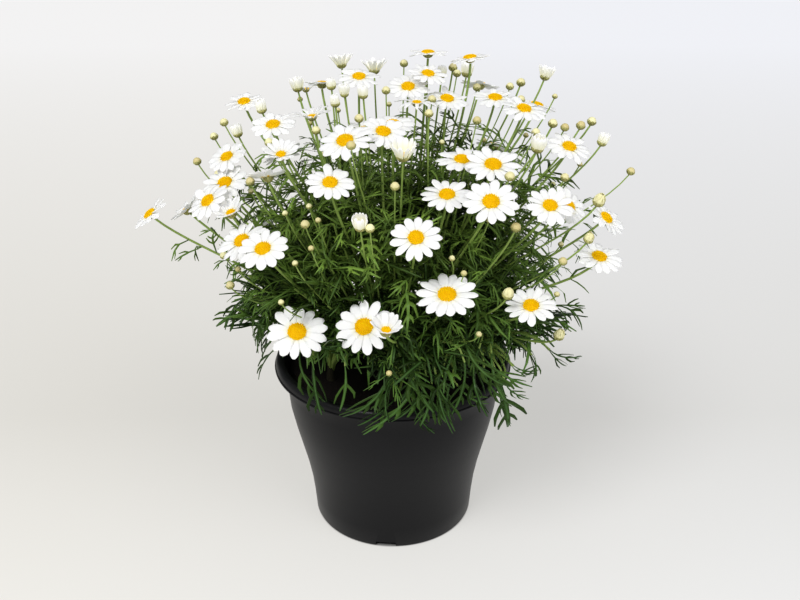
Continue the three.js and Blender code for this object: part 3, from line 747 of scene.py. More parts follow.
# Soil: a drum with a rough top, and crumbs of bark and peat on it
soil = {
    "sides": 72,
    "rings": [(70.7, 3.4), (74.0, 38), (82.0, 76), (92.1, 145.6), (89, 147.2), (84, 147.4), (78, 147.9),
              (71, 148.3), (62, 148.9), (52, 149.4), (42, 149.8), (30, 150), (18, 150), (8, 150)],
    "rough": 0.0016,
    "roughTop": (0.1465, 0.0905),  # lowest height and furthest reach that are roughened
    "crumbs": 620,
    "crumbSize": (1.2, 4.2),
    "crumbReach": 89.5,
    "crumbEdge": 91,
    "crumbHeight": 149.8,
    "sag": 2.2,  # how much lower the crumbs lie at the wall
}


def makeSoil():
    made = turnRings("soilBed", soil["sides"], soil["rings"])
    lowest, furthest = soil["roughTop"]
    bpy.ops.object.mode_set(mode="EDIT")
    pick(made, "VERT", lambda at: at.z > lowest and at.xy.length < furthest)
    bpy.ops.transform.vertex_random(offset=soil["rough"], seed=4)
    bpy.ops.object.mode_set(mode="OBJECT")
    bpy.ops.object.shade_smooth()
    dress(made, "soil", ["soil"])

    bpy.ops.mesh.primitive_ico_sphere_add(subdivisions=1, radius=1)
    crumb = opened()
    bpy.ops.transform.resize(value=(1, 0.75, 0.5))
    bpy.ops.transform.vertex_random(offset=0.3, seed=2)
    form = takeForm(crumb)
    small, large = soil["crumbSize"]
    copies = []
    for index in range(soil["crumbs"]):
        reach = soil["crumbReach"] * math.sqrt(draw(index + 0.21))
        turn = 2 * math.pi * draw(index + 0.57)
        size = small + (large - small) * draw(index + 0.83) ** 3
        off = min(reach, soil["crumbEdge"] - size)
        spin = 2 * math.pi * draw(index + 0.35)
        x, y, z = form["points"].T * size * 0.5
        points = np.c_[
            x * math.cos(spin) - y * math.sin(spin) + off * math.cos(turn),
            x * math.sin(spin) + y * math.cos(spin) + off * math.sin(turn),
            z + soil["crumbHeight"] - soil["sag"] * (reach / 90) ** 2]
        copies.append((form, points, draw(index + 0.1)))
    buildPiece("soilCrumbs", copies, "soil")
    print("soil and crumbs", len(copies))


# Woody foot of each leafy stem: heights and radii
wood = {
    "heights": (119, 138, 152, 164, 180),
    "radii": (4.5, 4.5, 4.0, 2.8, 1.0),
}


def makeWood():
    routes = []
    for region in range(len(regionTags)):
        route = np.array([stemPlace(region) + upward * z for z in wood["heights"]])
        routes.append((route, np.array(wood["radii"])))
    drawTubes("woodyStems", routes, "wood")


# Leaf forms, one unit long with the rib along X
leafForms = {
    "full": {
        "stations": [0, 0.22, 0.30, 0.43, 0.51, 0.66, 0.73, 1],
        "halves": [0.015, 0.021, 0.028, 0.025, 0.030, 0.026, 0.028, 0.009],
        # segment, side, then the moves of its lobe: forward, out, narrowing, turn in degrees
        "lobes": [
            (1, 1, [(0.07, 0.08, 0.7, 50), (0.18, 0.09, 0.4, 0)]),
            (1, -1, [(0.05, 0.06, 0.68, 46), (0.10, 0.07, 0.4, 0)]),
            (3, 1, [(0.06, 0.06, 0.68, 48), (0.13, 0.06, 0.4, 0)]),
            (3, -1, [(0.08, 0.08, 0.7, 52), (0.20, 0.06, 0.4, 0)]),
            (5, 1, [(0.07, 0.055, 0.68, 50), (0.14, 0.03, 0.4, 0)]),
            (5, -1, [(0.05, 0.045, 0.68, 48), (0.08, 0.03, 0.4, 0)])],
    },
    "fork": {
        "stations": [0, 0.36, 0.44, 0.60, 0.68, 1],
        "halves": [0.014, 0.023, 0.031, 0.027, 0.032, 0.009],
        "lobes": [
            (1, 1, [(0.07, 0.07, 0.72, 48), (0.20, 0.07, 0.4, 0)]),
            (1, -1, [(0.08, 0.08, 0.7, 50), (0.17, 0.10, 0.4, 0)]),
            (3, 1, [(0.05, 0.05, 0.7, 46), (0.10, 0.05, 0.4, 0)]),
            (3, -1, [(0.07, 0.055, 0.7, 50), (0.16, 0.02, 0.4, 0)])],
    },
    "strap": {
        "stations": [0, 0.42, 0.50, 0.68, 0.75, 1],
        "halves": [0.014, 0.025, 0.031, 0.028, 0.030, 0.009],
        "lobes": [
            (1, 1, [(0.08, 0.07, 0.7, 50), (0.20, 0.04, 0.4, 0)]),
            (3, -1, [(0.06, 0.05, 0.7, 48), (0.12, 0.03, 0.4, 0)])],
    },
    "slip": {
        "stations": [0, 0.35, 0.7, 1],
        "halves": [0.025, 0.045, 0.04, 0.01],
        "lobes": [],
    },
    "ribbon": {
        "stations": [0, 0.14, 0.28, 0.36, 0.47, 0.56, 0.64, 0.80, 0.86, 1],
        "halves": [0.012, 0.018, 0.024, 0.032, 0.028, 0.029, 0.036, 0.029, 0.031, 0.012],
        "lobes": [
            (2, -1, [(0.06, 0.06, 0.68, 44), (0.14, 0.08, 0.9, 20), (0.12, 0.02, 0.4, 0)]),
            (5, 1, [(0.06, 0.055, 0.68, 44), (0.12, 0.07, 0.9, 18), (0.09, 0.0, 0.45, 0)]),
            (5, -1, [(0.05, 0.04, 0.66, 44), (0.07, 0.03, 0.45, 0)]),
            (7, 1, [(0.05, 0.035, 0.7, 44), (0.08, 0.02, 0.45, 0)]),
            (7, -1, [(0.04, 0.03, 0.7, 44), (0.06, 0.02, 0.45, 0)])],
    },
    "hand": {
        "stations": [0, 0.14, 0.28, 0.42, 0.50, 0.66, 0.73, 0.87, 1],
        "halves": [0.012, 0.018, 0.024, 0.028, 0.038, 0.029, 0.034, 0.029, 0.012],
        "lobes": [
            (3, 1, [(0.07, 0.06, 0.7, 42), (0.13, 0.08, 0.95, 18), (0.14, 0.02, 0.4, 0)]),
            (3, -1, [(0.06, 0.065, 0.7, 46), (0.12, 0.10, 0.95, 16), (0.10, 0.045, 0.4, 0)]),
            (5, 1, [(0.06, 0.045, 0.7, 46), (0.10, 0.055, 0.9, 16), (0.08, 0.01, 0.45, 0)]),
            (5, -1, [(0.05, 0.045, 0.7, 44), (0.09, 0.04, 0.45, 0)])],
    },
    "fingers": {
        "stations": [0, 0.14, 0.28, 0.40, 0.48, 0.62, 0.74, 0.87, 1],
        "halves": [0.012, 0.018, 0.024, 0.029, 0.038, 0.029, 0.031, 0.028, 0.012],
        "lobes": [
            (3, 1, [(0.09, 0.055, 0.72, 40), (0.15, 0.065, 1, 14), (0.16, 0.015, 0.4, 0)]),
            (3, -1, [(0.07, 0.07, 0.72, 44), (0.13, 0.11, 1, 20), (0.12, 0.03, 0.4, 0)])],
    },
}
leafThick = 0.012  # share of a leaf's length
outerForms = ["ribbon", "hand", "fingers", "ribbon", "hand"]


def modelLeaf(plan):
    segments = len(plan["stations"]) - 1
    bpy.ops.mesh.primitive_grid_add(x_subdivisions=segments, y_subdivisions=1, size=1)
    leaf = opened()
    # each station goes past the grid's end, so that the next one is picked alone, and all come back
    past = 2
    for step, (along, half) in enumerate(zip(plan["stations"], plan["halves"])):
        now = step / segments - 0.5
        pick(leaf, "VERT", lambda at: abs(at.x - now) < 1e-4 and abs(abs(at.y) - 0.5) < 1e-4)
        bpy.ops.transform.resize(value=(1, half * 2, 1), center_override=(0, 0, 0))
        bpy.ops.transform.translate(value=(along - now + past, 0, 0))
    bpy.ops.mesh.select_all(action="SELECT")
    bpy.ops.transform.translate(value=(-past, 0, 0))
    for segment, side, moves in plan["lobes"]:
        near, far = plan["stations"][segment:segment + 2]
        half = sum(plan["halves"][segment:segment + 2]) / 2
        spot = Vector(((near + far) / 2, side * half, 0))
        for forward, out, narrow, turn in moves:
            spot = growEdge(leaf, spot, (forward, side * out, 0), narrow, side * turn)
    finishWith(leaf, "SOLIDIFY", thickness=leafThick, offset=0)
    return takeForm(leaf)


def placeLeaf(form, leaf):
    # lays a leaf form from its root along its way, arched, swept aside, folded, its lobes hooked
    x, y, z = form["points"].T * leaf["length"]
    y = y * leaf.get("broad", 1)
    fold = np.abs(y) * leaf["fold"]
    x, y = (x + leaf.get("hook", 0) * y * y / leaf["length"],
            y + leaf.get("sweep", 0) * x * x / leaf["length"])
    side = unit(np.cross(leaf["way"], leaf.get("lid", upward)))
    side = turnedAbout(side, leaf["way"], leaf["roll"])
    face = np.cross(side, leaf["way"])
    bend = leaf["arch"] / leaf["length"]
    turn = (x * bend)[:, None]
    normal = face * np.cos(turn) + leaf["way"] * np.sin(turn)
    return (leaf["root"] + leaf["way"] * np.sin(turn) / bend - face * (1 - np.cos(turn)) / bend
            + side * y[:, None] + normal * (fold + z)[:, None])


# Leafy shoots inside the bush
shoots = {
    "inSector": 27,
    "inMiddle": 12,
    "outermost": 7,  # first shoots of a sector, which all reach its outside
    "turns": (50, 60),  # degrees that those and the others spread over
    "low": -24,  # degrees of the lowest shoot, and the span above it
    "span": 92,
    "reach": 128,
    "waist": 215,
    "rise": 127,
    "drop": 60,
    "middleReach": 26,
    "middleFoot": 240,
    "middleTip": (342, -46),  # height of the highest tip, and how far others are below
    "leaves": 10,
    "tipLeaf": 0.94,  # share of a shoot where its last leaf stands
    "leafy": 0.55,  # share of a shoot that carries leaves
    "radii": (1.7, 0.8),
    "cuts": [(0.4, "full"), (0.75, "fork"), (1, "strap")],  # leaf forms, each up to its draw
}


def shootRoute(region, index):
    # two series that never repeat spread the shoots over turns and heights
    spread = share(0.5 + (index + region * 0.37) * 0.7548777)
    height = share(0.5 + (index + region * 0.61) * 0.5698403)
    if region == middleRegion:
        turn = (index + 0.5) * goldenAngle
        off = shoots["middleReach"] * math.sqrt(share(0.3 + index * 0.618))
        highest, lower = shoots["middleTip"]
        tip = np.array((off * math.cos(turn), off * math.sin(turn), highest + lower * height))
        return np.array((tip[0] * 0.4, tip[1] * 0.4, shoots["middleFoot"])), tip
    elevation = math.radians(shoots["low"] + shoots["span"] * height)
    inner = index >= shoots["outermost"]
    narrow, wide = shoots["turns"]
    turn = math.radians((spread - 0.5) * (wide if inner else narrow))
    reach = shoots["reach"] * math.cos(elevation) ** 0.62
    reach *= ranged(0.8, 0.2, region * 50 + index) if inner else 1
    z = shoots["waist"] + math.sin(elevation) * (shoots["rise"] if elevation > 0 else shoots["drop"])
    tip = fromSector(region, reach * math.cos(turn), reach * math.sin(turn), z)
    tip = pulledInside(region, tip, 4)
    along, aside = inSector(region, tip)
    startReach = max(along * 0.5, bush["sectorStart"])
    z = bush["shootLow"] + 20 * height
    return fromSector(region, startReach, aside * startReach / along, z), tip


def shootLeaf(region, index, number, start, tip):
    # leaves turn about their shoot, from its tip down, and are shorter and sparser high in the bush
    key = region * 4000 + index * 20 + number
    high = limited((tip[2] - 190) / 110)
    part = shoots["tipLeaf"] - number / shoots["leaves"] * shoots["leafy"]
    along = unit(tip - start)
    outside = np.array((along[1], -along[0], 0.2))
    sideways = unit(np.cross(along, outside))
    around = turnedAbout(sideways, along, number * goldenAngle + index * 0.9)
    off = math.radians(ranged(38, 26, key))
    return {
        "root": start + (tip - start) * part,
        "way": unit(along * math.cos(off) + around * math.sin(off)),
        "length": ranged(42, 18, key + 0.3) - (6 if number < 2 else 0) - 8 * high,
        "arch": ranged(0.1, 1.2, key + 0.6) + 0.4 * (1 - high),
        "fold": ranged(-0.05, 0.45, key + 0.8),
        "roll": swing(1.2, key + 0.45),
        "sweep": swing(0.9, key + 0.25),
        "hook": swing(3, key + 0.35, 0.3),
        "tone": draw(key + 0.5),
        "kept": draw(key + 0.15) > 0.58 * high,
    }


# Outer leaves that the picture shows one by one, by root and tip: column, row, depth
outerLeaves = [
    # over the rim in front
    ((419, 374, -112), (406, 434, -130)), ((432, 384, -112), (431, 426, -128)),
    ((395, 399, -108), (375, 434, -124)), ((396, 378, -110), (367, 404, -122)),
    ((394, 382, -106), (378, 405, -118)), ((466, 344, -116), (471, 394, -128)),
    ((458, 386, -112), (470, 417, -120)), ((436, 374, -118), (438, 402, -126)),
    ((413, 402, -116), (416, 436, -126)), ((424, 392, -110), (442, 424, -124)),
    ((313, 358, -104), (314, 412, -118)), ((300, 352, -100), (296, 396, -112)),
    ((345, 366, -108), (352, 408, -120)), ((484, 368, -104), (482, 408, -112)),
    # beside the rim on the right
    ((496, 371, -92), (506, 429, -96)), ((503, 384, -88), (490, 414, -98)),
    ((505, 382, -88), (513, 405, -92)), ((549, 350, -78), (556, 371, -82)),
    ((550, 350, -76), (566, 371, -80)), ((532, 355, -84), (543, 374, -88)),
    ((512, 366, -88), (523, 383, -92)), ((514, 366, -86), (528, 383, -88)),
    ((557, 306, -40), (588, 319, -42)), ((558, 308, -42), (571, 329, -46)),
    ((555, 305, -38), (582, 303, -36)), ((541, 322, -60), (540, 341, -64)),
    # to the left of the pot
    ((250, 300, -50), (223, 332, -56)), ((249, 296, -50), (220, 315, -54)),
    ((262, 306, -56), (236, 332, -62)), ((268, 312, -60), (246, 334, -64)),
    ((276, 316, -66), (262, 346, -70)), ((248, 276, -40), (225, 277, -42)),
    ((258, 292, -44), (232, 300, -50)), ((276, 300, -62), (258, 338, -66)),
]
# The mass of leaves that spills over the front of the rim, as least and span in the picture
spill = {
    "leaves": 14,
    "columns": (384, 112),
    "rows": (346, 34),
    "rootDepth": (-104, -8),
    "tipDepth": (-118, -10),
    "aside": 52,
    "hang": (32, 24),
    "lowest": ([350, 368, 382, 400, 416, 432, 450, 470, 490, 510],
               [400, 410, 422, 430, 434, 426, 418, 410, 404, 396]),  # columns and rows of the tips
}
# Leaves that hang over the rim at the sides and the back, as least and span
rimLeaves = {
    "leaves": 22,
    "turns": (-15, 210),
    "reach": (92, 8),
    "height": (180, 14),
    "length": (40, 16),
    "arch": (0.9, 0.4),
}
# Lower edge of the other leaves in the picture, and the room that they leave over the rim
fringe = {
    "columns": [200, 262, 276, 300, 345, 385, 430, 470, 500, 530, 590],
    "rows": [325, 338, 345, 352, 368, 392, 398, 384, 372, 362, 340],
    "rim": (165.5, 118),  # lowest height inside this reach
}
# Where light shows through the leaves: columns, rows, and the share of the leaves that grows there
airy = [((200, 400), (120, 216), 0.4), ((230, 400), (216, 262), 0.6), ((500, 600), (185, 300), 0.55)]


def spillingLeaf(index):
    # root and tip in the picture
    first, span = spill["columns"]
    column = first + span * (index + draw(index + 0.15)) / spill["leaves"]
    row = ranged(*spill["rows"], index + 0.35)
    away = column + swing(spill["aside"], index + 0.55)
    hang, more = spill["hang"]
    low = min(ranged(row + hang, more, index + 0.75), float(np.interp(away, *spill["lowest"])))
    return ((column, row, ranged(*spill["rootDepth"], index + 0.65)),
            (away, low, ranged(*spill["tipDepth"], index + 0.85)))


def outerLeaf(root, tip, index):
    start, end = placeSeen(*root), placeSeen(*tip)
    chord = end - start
    arch = ranged(0.5, 1.3, index + 0.2) if index % 4 else -0.4
    lid = upward * 0.7 - np.array(sightForward) * 0.8
    side = unit(np.cross(chord, lid))
    return {
        "root": start, "way": turnedAbout(unit(chord), side, arch / 2), "lid": lid,
        "length": np.linalg.norm(chord) * 1.06, "arch": arch, "fold": ranged(0, 0.3, index + 0.9),
        "roll": swing(0.9, index + 0.7), "sweep": swing(1.7, index + 0.1),
        "hook": swing(3.5, index + 0.6, 0.25), "broad": 1.1, "tone": draw(index + 0.4)}


def overRim(index):
    first, span = rimLeaves["turns"]
    turn = math.radians(first + span * (index + draw(index + 0.3)) / rimLeaves["leaves"])
    out = np.array((math.cos(turn), math.sin(turn), 0.0))
    return {
        "root": (out * ranged(*rimLeaves["reach"], index + 0.5)
                 + upward * ranged(*rimLeaves["height"], index + 0.6)),
        "way": unit(out * 0.9 - upward * ranged(0.25, 0.3, index + 0.8)),
        "length": ranged(*rimLeaves["length"], index + 0.9),
        "arch": ranged(*rimLeaves["arch"], index + 0.1),
        "fold": 0.25, "roll": swing(0.6, index + 0.7), "tone": draw(index + 0.4)}


def leafClear(points):
    # keeps off the pot, above the fringe of the picture and out of the blooms
    lowest, furthest = fringe["rim"]
    reach = np.hypot(points[:, 0], points[:, 1])
    if ((points[:, 2] < lowest) & (reach < furthest)).any():
        return False
    columns, rows, depths = seenAt(points)
    if (rows > np.interp(columns, fringe["columns"], fringe["rows"])).any():
        return False
    return not crossesBloom(points[::6], 1.0) and not hidesBloom(points[::4])


def thinnedOut(points, leaf):
    # the paler leaves are the ones that stay where the bush is airy
    columns, rows, depths = seenAt(points)
    column, row = columns.mean(), rows.mean()
    for (left, right), (top, bottom), staying in airy:
        if left < column < right and top < row < bottom and leaf["tone"] < 1 - staying:
            return True
    return False


# Leaf tones with painted shade and light: dark deep in the bush where shade falls, and paler towards
# its outside and its top where light falls
paintedLeafShades = {
    "middle": (0, 0, 215),
    "halves": (120, 120, 95),
    "high": (220, 80),  # height, and span above it, where more of them turn pale with painted light
    "least": 0.04,
    "fall": (2.4, -1.5),
}


def paintedLeafShade(leaf):
    off = (leaf["root"] - np.array(paintedLeafShades["middle"])) / np.array(paintedLeafShades["halves"])
    # painted shade: leaves deep in the bush go dark, and those towards the outside keep their tone
    out = limited(np.linalg.norm(off) * 2 - 1.2)
    height, span = paintedLeafShades["high"]
    high = limited((leaf["root"][2] - height) / span)
    fall, less = paintedLeafShades["fall"]
    return out * (paintedLeafShades["least"] + (1 - paintedLeafShades["least"]) * leaf["tone"] ** (fall + less * high))


def shootLeaves(forms, region):
    copies, routes = [], []
    for index in range(shoots["inMiddle"] if region == middleRegion else shoots["inSector"]):
        start, tip = shootRoute(region, index)
        roots = []
        for number in range(shoots["leaves"]):
            leaf = shootLeaf(region, index, number, start, tip)
            form = forms[cutOf(draw(index * 31 + number), shoots["cuts"])]
            points = placeLeaf(form, leaf)
            if leaf["kept"] and leafClear(points) and not thinnedOut(points, leaf):
                copies.append((form, points, paintedLeafShade(leaf)))
                roots.append(leaf["root"])
        if roots:
            lower = fromStem(region, 20, start - (tip - start) * 0.2, start, 6)
            route = np.concatenate([lower, [(start + roots[0]) / 2, roots[0]]])
            routes.append((route, np.linspace(*shoots["radii"], len(route))))
    return copies, routes


def cutOf(choice, cuts):
    # the first cut whose limit the choice stays under
    return next(name for limit, name in cuts if choice < limit)


def outerCopies(forms, region, outer):
    copies, routes = [], []
    for index, leaf in enumerate(outer):
        if regionOf(leaf["root"]) != region:
            continue
        root, way = leaf["root"], leaf["way"]
        form = forms[outerForms[index % len(outerForms)]]
        copies.append((form, placeLeaf(form, leaf), ranged(0.02, 0.3, index + 0.4)))
        routes.append((fromStem(region, 45, root - way * 30 + upward * 6, root, 9),
                       np.linspace(1.6, 0.8, 9)))
    return copies, routes


# Leaves on a stalk: pairs, the span that carries them, and lengths at its foot and at its head
stalkLeaf = {
    "pairs": 8,
    "span": (0.03, 0.84),
    "bare": 0.14,  # share of the tallest stalks that stays bare besides
    "tall": (300, 70),  # head's height, and span above it, where stalks grow bare
    "length": (38, 20),
    "turn": 2.4,
    "cuts": [(0.35, "fork"), (0.85, "strap"), (2, "slip")],
}


def stalkLeaves(forms, route, key):
    # pairs of curled leaves along a stalk, smaller towards its head
    copies = []
    tall, over = stalkLeaf["tall"]
    low, high = stalkLeaf["span"]
    high -= stalkLeaf["bare"] * limited((route[-1][2] - tall) / over)
    first, last = stalkLeaf["length"]
    for number in range(stalkLeaf["pairs"] * 2):
        part = low + (high - low) * (number // 2 + 0.7 * draw(key * 7 + number)) / stalkLeaf["pairs"]
        index = int(part * (len(route) - 1))
        along = unit(route[index + 1] - route[index])
        around = unit(np.cross(along, np.array((math.cos(key), math.sin(key), 0.1))))
        around = turnedAbout(around, along, number * stalkLeaf["turn"])
        leaf = {
            "root": route[index], "way": unit(along * 0.7 + around * 0.75),
            "length": (first + (last - first) * part) * ranged(0.8, 0.4, key + number),
            "arch": ranged(0.5, 1.6, key * 2 + number), "fold": ranged(0, 0.3, key + number * 3),
            "roll": swing(1.6, key * 4 + number), "sweep": swing(1.1, key * 6 + number),
            "hook": swing(3, key * 8 + number, 0.3)}
        form = forms[cutOf(ranged(0.2 * part, 1, key * 5 + number), stalkLeaf["cuts"])]
        points = placeLeaf(form, leaf)
        if not crossesBloom(points, 0.6) and not hidesBloom(points[::3]):
            copies.append((form, points, ranged(0.15, 0.75, key * 3 + number)))
    return copies


def makeFoliage():
    upper, whole = planStalks()
    forms = {name: modelLeaf(leafForms[name]) for name in leafForms}
    shown = outerLeaves + [spillingLeaf(index) for index in range(spill["leaves"])]
    outer = [outerLeaf(root, tip, index) for index, (root, tip) in enumerate(shown)]
    outer += [overRim(index) for index in range(rimLeaves["leaves"])]
    total = 0
    for region, tag in enumerate(regionTags):
        copies, routes = shootLeaves(forms, region)
        moreCopies, moreRoutes = outerCopies(forms, region, outer)
        copies += moreCopies
        for index, route in enumerate(upper[region]):
            copies += stalkLeaves(forms, route, region * 60 + index)
        total += len(copies)
        buildPiece("leaves_" + tag, copies, "leaf", [stemNames[region]])
        drawTubes("stalks_" + tag, routes + moreRoutes + whole[region], "stalk")
    print("leaves", total)


# Petal: a grid with two grooves, rounded at its tip and narrow at its foot
petal = {
    "rows": 6,
    "halves": [0.22, 0.32, 0.41, 0.48, 0.50, 0.45, 0.24],
    "groove": 0.035,
    "round": 0.045,
    "thick": 0.022,
    "counts": (12, 3),  # the fewest in a bloom, and how many counts there are
    "lap": 0.714,  # breadth of a petal, as a share of the bloom's rim over its count
    "curls": {"bloom": (0.08, -0.22), "young": (0.35, -0.1)},  # rise and curl
    "stagger": (-0.15, 0.35),  # every second petal lies higher
    "foot": 0.7,  # share of the disc's radius where petals start
    "openingCurl": -0.1,
    "openingDisc": 0.8,
}


def modelPetal():
    bpy.ops.mesh.primitive_grid_add(x_subdivisions=petal["rows"], y_subdivisions=4, size=1)
    made = opened()
    bpy.ops.transform.translate(value=(0.5, 0, 0))
    pick(made, "VERT", lambda at: abs(abs(at.y) - 0.25) < 1e-4 and 0.1 < at.x < 0.95)
    bpy.ops.transform.translate(value=(0, 0, -petal["groove"]))
    pick(made, "VERT", lambda at: at.x > 0.99 and abs(at.y) > 0.4)
    bpy.ops.transform.translate(value=(-petal["round"], 0, 0))
    for row, half in enumerate(petal["halves"]):
        pick(made, "VERT", lambda at: abs(at.x - row / petal["rows"]) < 0.06)
        bpy.ops.transform.resize(value=(1, half * 2, 1), center_override=(0, 0, 0))
    finishWith(made, "SOLIDIFY", thickness=petal["thick"], offset=0)
    return takeForm(made)


def placePetal(form, ray):
    # ray: root, out, side, up, length, width, rise and curl in radians, roll
    x = form["points"][:, 0] * ray["length"]
    y = form["points"][:, 1] * ray["width"]
    z = form["points"][:, 2] * ray["length"]
    y, z = (y * math.cos(ray["roll"]) - z * math.sin(ray["roll"]),
            y * math.sin(ray["roll"]) + z * math.cos(ray["roll"]))
    bend = ray["curl"] / ray["length"]
    angle = ray["rise"] + x * bend
    along = x * np.cos(ray["rise"] + x * bend / 2) - z * np.sin(angle)
    high = x * np.sin(ray["rise"] + x * bend / 2) + z * np.cos(angle)
    return (ray["root"] + ray["out"] * along[:, None] + ray["side"] * y[:, None]
            + ray["up"] * high[:, None])


def outFrom(head, turn):
    # square to a head's way, turned about it
    sideways = unit(np.cross(np.array((0.0, 1.0, 0.0)), head["way"]))
    return sideways * math.cos(turn) + np.cross(head["way"], sideways) * math.sin(turn)


def petalRing(form, head, count, reach, foot, rise, curl, lift, width):
    copies = []
    lower, upper = petal["stagger"]
    for index in range(count):
        key = head["number"] * 40 + index
        turn = (index + draw(head["number"] * 5) + swing(0.24, key + 0.4)) * 2 * math.pi / count
        out = outFrom(head, turn)
        ray = {
            "root": head["place"] + out * foot + head["way"] * (lift + (upper if index % 2 else lower)),
            "out": out, "side": np.cross(head["way"], out), "up": head["way"],
            "length": (reach - foot) * ranged(0.93, 0.09, key),
            "width": width * ranged(0.9, 0.2, key + 0.7),
            "rise": rise + swing(0.16, key + 0.2),
            "curl": curl + swing(0.5, key + 0.9),
            "roll": swing(0.35, key + 0.6)}
        copies.append((form, placePetal(form, ray), draw(key + 0.3)))
    return copies


# Disc: a low dome studded with florets in a sunflower spiral
disc = {
    "share": 0.305,
    "high": 0.42,
    "spacing": 1.15,
    "floret": (0.62, 0.9),
    "edge": 0.97,  # share of the radius that florets reach
    "domeTone": 0.3,
}


def halfBall(segments, way):
    # the part of a ball over or under its middle, closed flat, one unit wide
    bpy.ops.mesh.primitive_uv_sphere_add(segments=segments, ring_count=10, radius=1)
    made = opened()
    bpy.ops.mesh.select_all(action="SELECT")
    bpy.ops.mesh.bisect(
        plane_co=(0, 0, -0.02 * way), plane_no=(0, 0, way), clear_inner=True, use_fill=True)
    return takeForm(made)


def modelFloret():
    bpy.ops.mesh.primitive_cone_add(vertices=5, radius1=1, radius2=0.72, depth=1, location=(0, 0, 0))
    made = opened()
    pick(made, "FACE", lambda at: at.z > 0.45)
    bpy.ops.mesh.inset(thickness=0.3)
    bpy.ops.transform.translate(value=(0, 0, 0.22))
    return takeForm(made)


def placeTurned(form, place, way, scale, turn=0.0):
    # a form set upright on a way, scaled and turned about it
    sideways = unit(np.cross(np.array((0.0, 1.0, 0.013)), way))
    across = np.cross(way, sideways)
    x, y, z = (form["points"] * np.array(scale)).T[:, :, None]
    c, s = math.cos(turn), math.sin(turn)
    return place + sideways * (x * c - y * s) + across * (x * s + y * c) + way * z


def discCopies(forms, head, radius, lift):
    base = head["place"] + head["way"] * lift
    high = radius * disc["high"]
    dome = placeTurned(forms["dome"], base, head["way"], (radius, radius, high))
    copies = [(forms["dome"], dome, disc["domeTone"])]
    count = int((radius / disc["spacing"]) ** 2 * 3)
    size, tall = disc["floret"]
    for index in range(count):
        part = math.sqrt((index + 0.5) / count)
        turn = index * goldenAngle
        out = outFrom(head, turn)
        height = high * math.sqrt(1 - (part * disc["edge"]) ** 2)
        way = unit(out * part * disc["high"] * 1.6 + head["way"] * math.sqrt(1.05 - part * part))
        spot = base + out * (radius * part * disc["edge"]) + head["way"] * (height + 0.1)
        scale = (size, size, tall * (0.75 + 0.5 * part))
        points = placeTurned(forms["floret"], spot, way, scale, turn)
        # outer florets take a lower tone, darker and more orange: painted shade at the disc's rim
        copies.append((forms["floret"], points, draw(index + 0.2) * (1 - 0.5 * part)))
    return copies


# Green cup of pointed bracts, and the round bud
calyx = {
    "radii": {"bloom": 4.4, "young": 4.0},
    "deep": 4.2,
    "drop": 4.3,  # from a bloom's middle down to the foot of its cup
    # rows of scales: their foot and tip above the foot of the cup, and their number
    "bloomRows": [(0.7, 2.9, 10), (2.0, 4.3, 11)],
    # the same, in radii of the head
    "budRows": [(0.0, 0.55, 8), (0.22, 0.8, 8), (0.48, 1.12, 8)],
    "cupRows": [(0.05, 0.55, 9), (0.35, 0.98, 9)],
    "scaleLap": 1.15,
    "scaleDeep": 0.99,  # millimetres for one unit of a scale's form
    "budMiddle": 0.95,  # above the bud's foot, and its height, in radii
    "budHigh": 0.96,
}
# Half-open head: shares of its radius, and in pairs the change as it opens
halfOpen = {
    "radius": (0.46, -0.13),  # shares of the width
    "deep": 0.88,
    "bowlHigh": 0.85,
    "petals": 12,
    "petalFoot": 0.86,
    "petalTall": (1.7, 5),  # shares of the radius, and millimetres more when open
    "petalRise": (1.4, -0.35),
    "petalCurl": (1.45, -1.75),
    "petalLift": -0.22,
    "petalWide": 0.8,
    "asBloom": 1.2,  # opened past this, its petals are white as a bloom's
    "asCrown": 0.2,  # and under this, cream as a bud
    "discFrom": 0.5,
    "disc": (0.2, 0.45),
    "shut": (0.76, 0.8),  # half width and height of the ball that closes it
}


def modelBract():
    # a scale that stands up along Z from its foot, hollow towards the axis
    bpy.ops.mesh.primitive_grid_add(x_subdivisions=2, y_subdivisions=3, size=1)
    made = opened()
    bpy.ops.transform.translate(value=(0, 0.5, 0))
    for along, half in ((0, 0.75), (1 / 3, 1), (2 / 3, 0.8), (1, 0.22)):
        pick(made, "VERT", lambda at: abs(at.y - along) < 0.05)
        bpy.ops.transform.resize(value=(half, 1, 1), center_override=(0, 0, 0))
    pick(made, "VERT", lambda at: abs(at.x) < 0.01)
    bpy.ops.transform.translate(value=(0, 0, 0.16))
    finishWith(made, "SOLIDIFY", thickness=0.12, offset=0)
    return takeForm(made)


def modelBudBall():
    # a ball with its upper columns drawn in by turns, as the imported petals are
    segments = 16
    bpy.ops.mesh.primitive_uv_sphere_add(segments=segments, ring_count=10, radius=1)
    made = opened()
    step = 2 * math.pi / segments
    pick(made, "VERT", lambda at: at.z > 0.2 and at.xy.length > 0.1
         and round(math.atan2(at.y, at.x) / step) % 2 == 0)
    bpy.ops.transform.resize(value=(0.92, 0.92, 0.97), center_override=(0, 0, 0))
    return takeForm(made)


def roundReach(radius, off, least=0.03):
    # how far out a ball's surface is, at an offset from its middle in radii
    return radius * np.sqrt(np.clip(1 - off ** 2, least, 1))


def bractRows(form, head, base, radiusAt, rows, size=1):
    # rings of scales that lie on a round body, each between two heights above its base
    copies = []
    x, y, z = form["points"].T
    for row, (low, high, count) in enumerate(rows):
        low, high = low * size, high * size
        level = low + (high - low) * y
        reach = radiusAt(level) + z * calyx["scaleDeep"]
        width = 2 * math.pi * radiusAt((low + high) / 2) / count * calyx["scaleLap"]
        for index in range(count):
            out = outFrom(head, (index + 0.5 * row) * 2 * math.pi / count)
            side = np.cross(head["way"], out)
            points = (base + out * reach[:, None] + side * (x * width)[:, None]
                      + head["way"] * level[:, None])
            copies.append((form, points, draw(head["number"] * 9 + index)))
    return copies


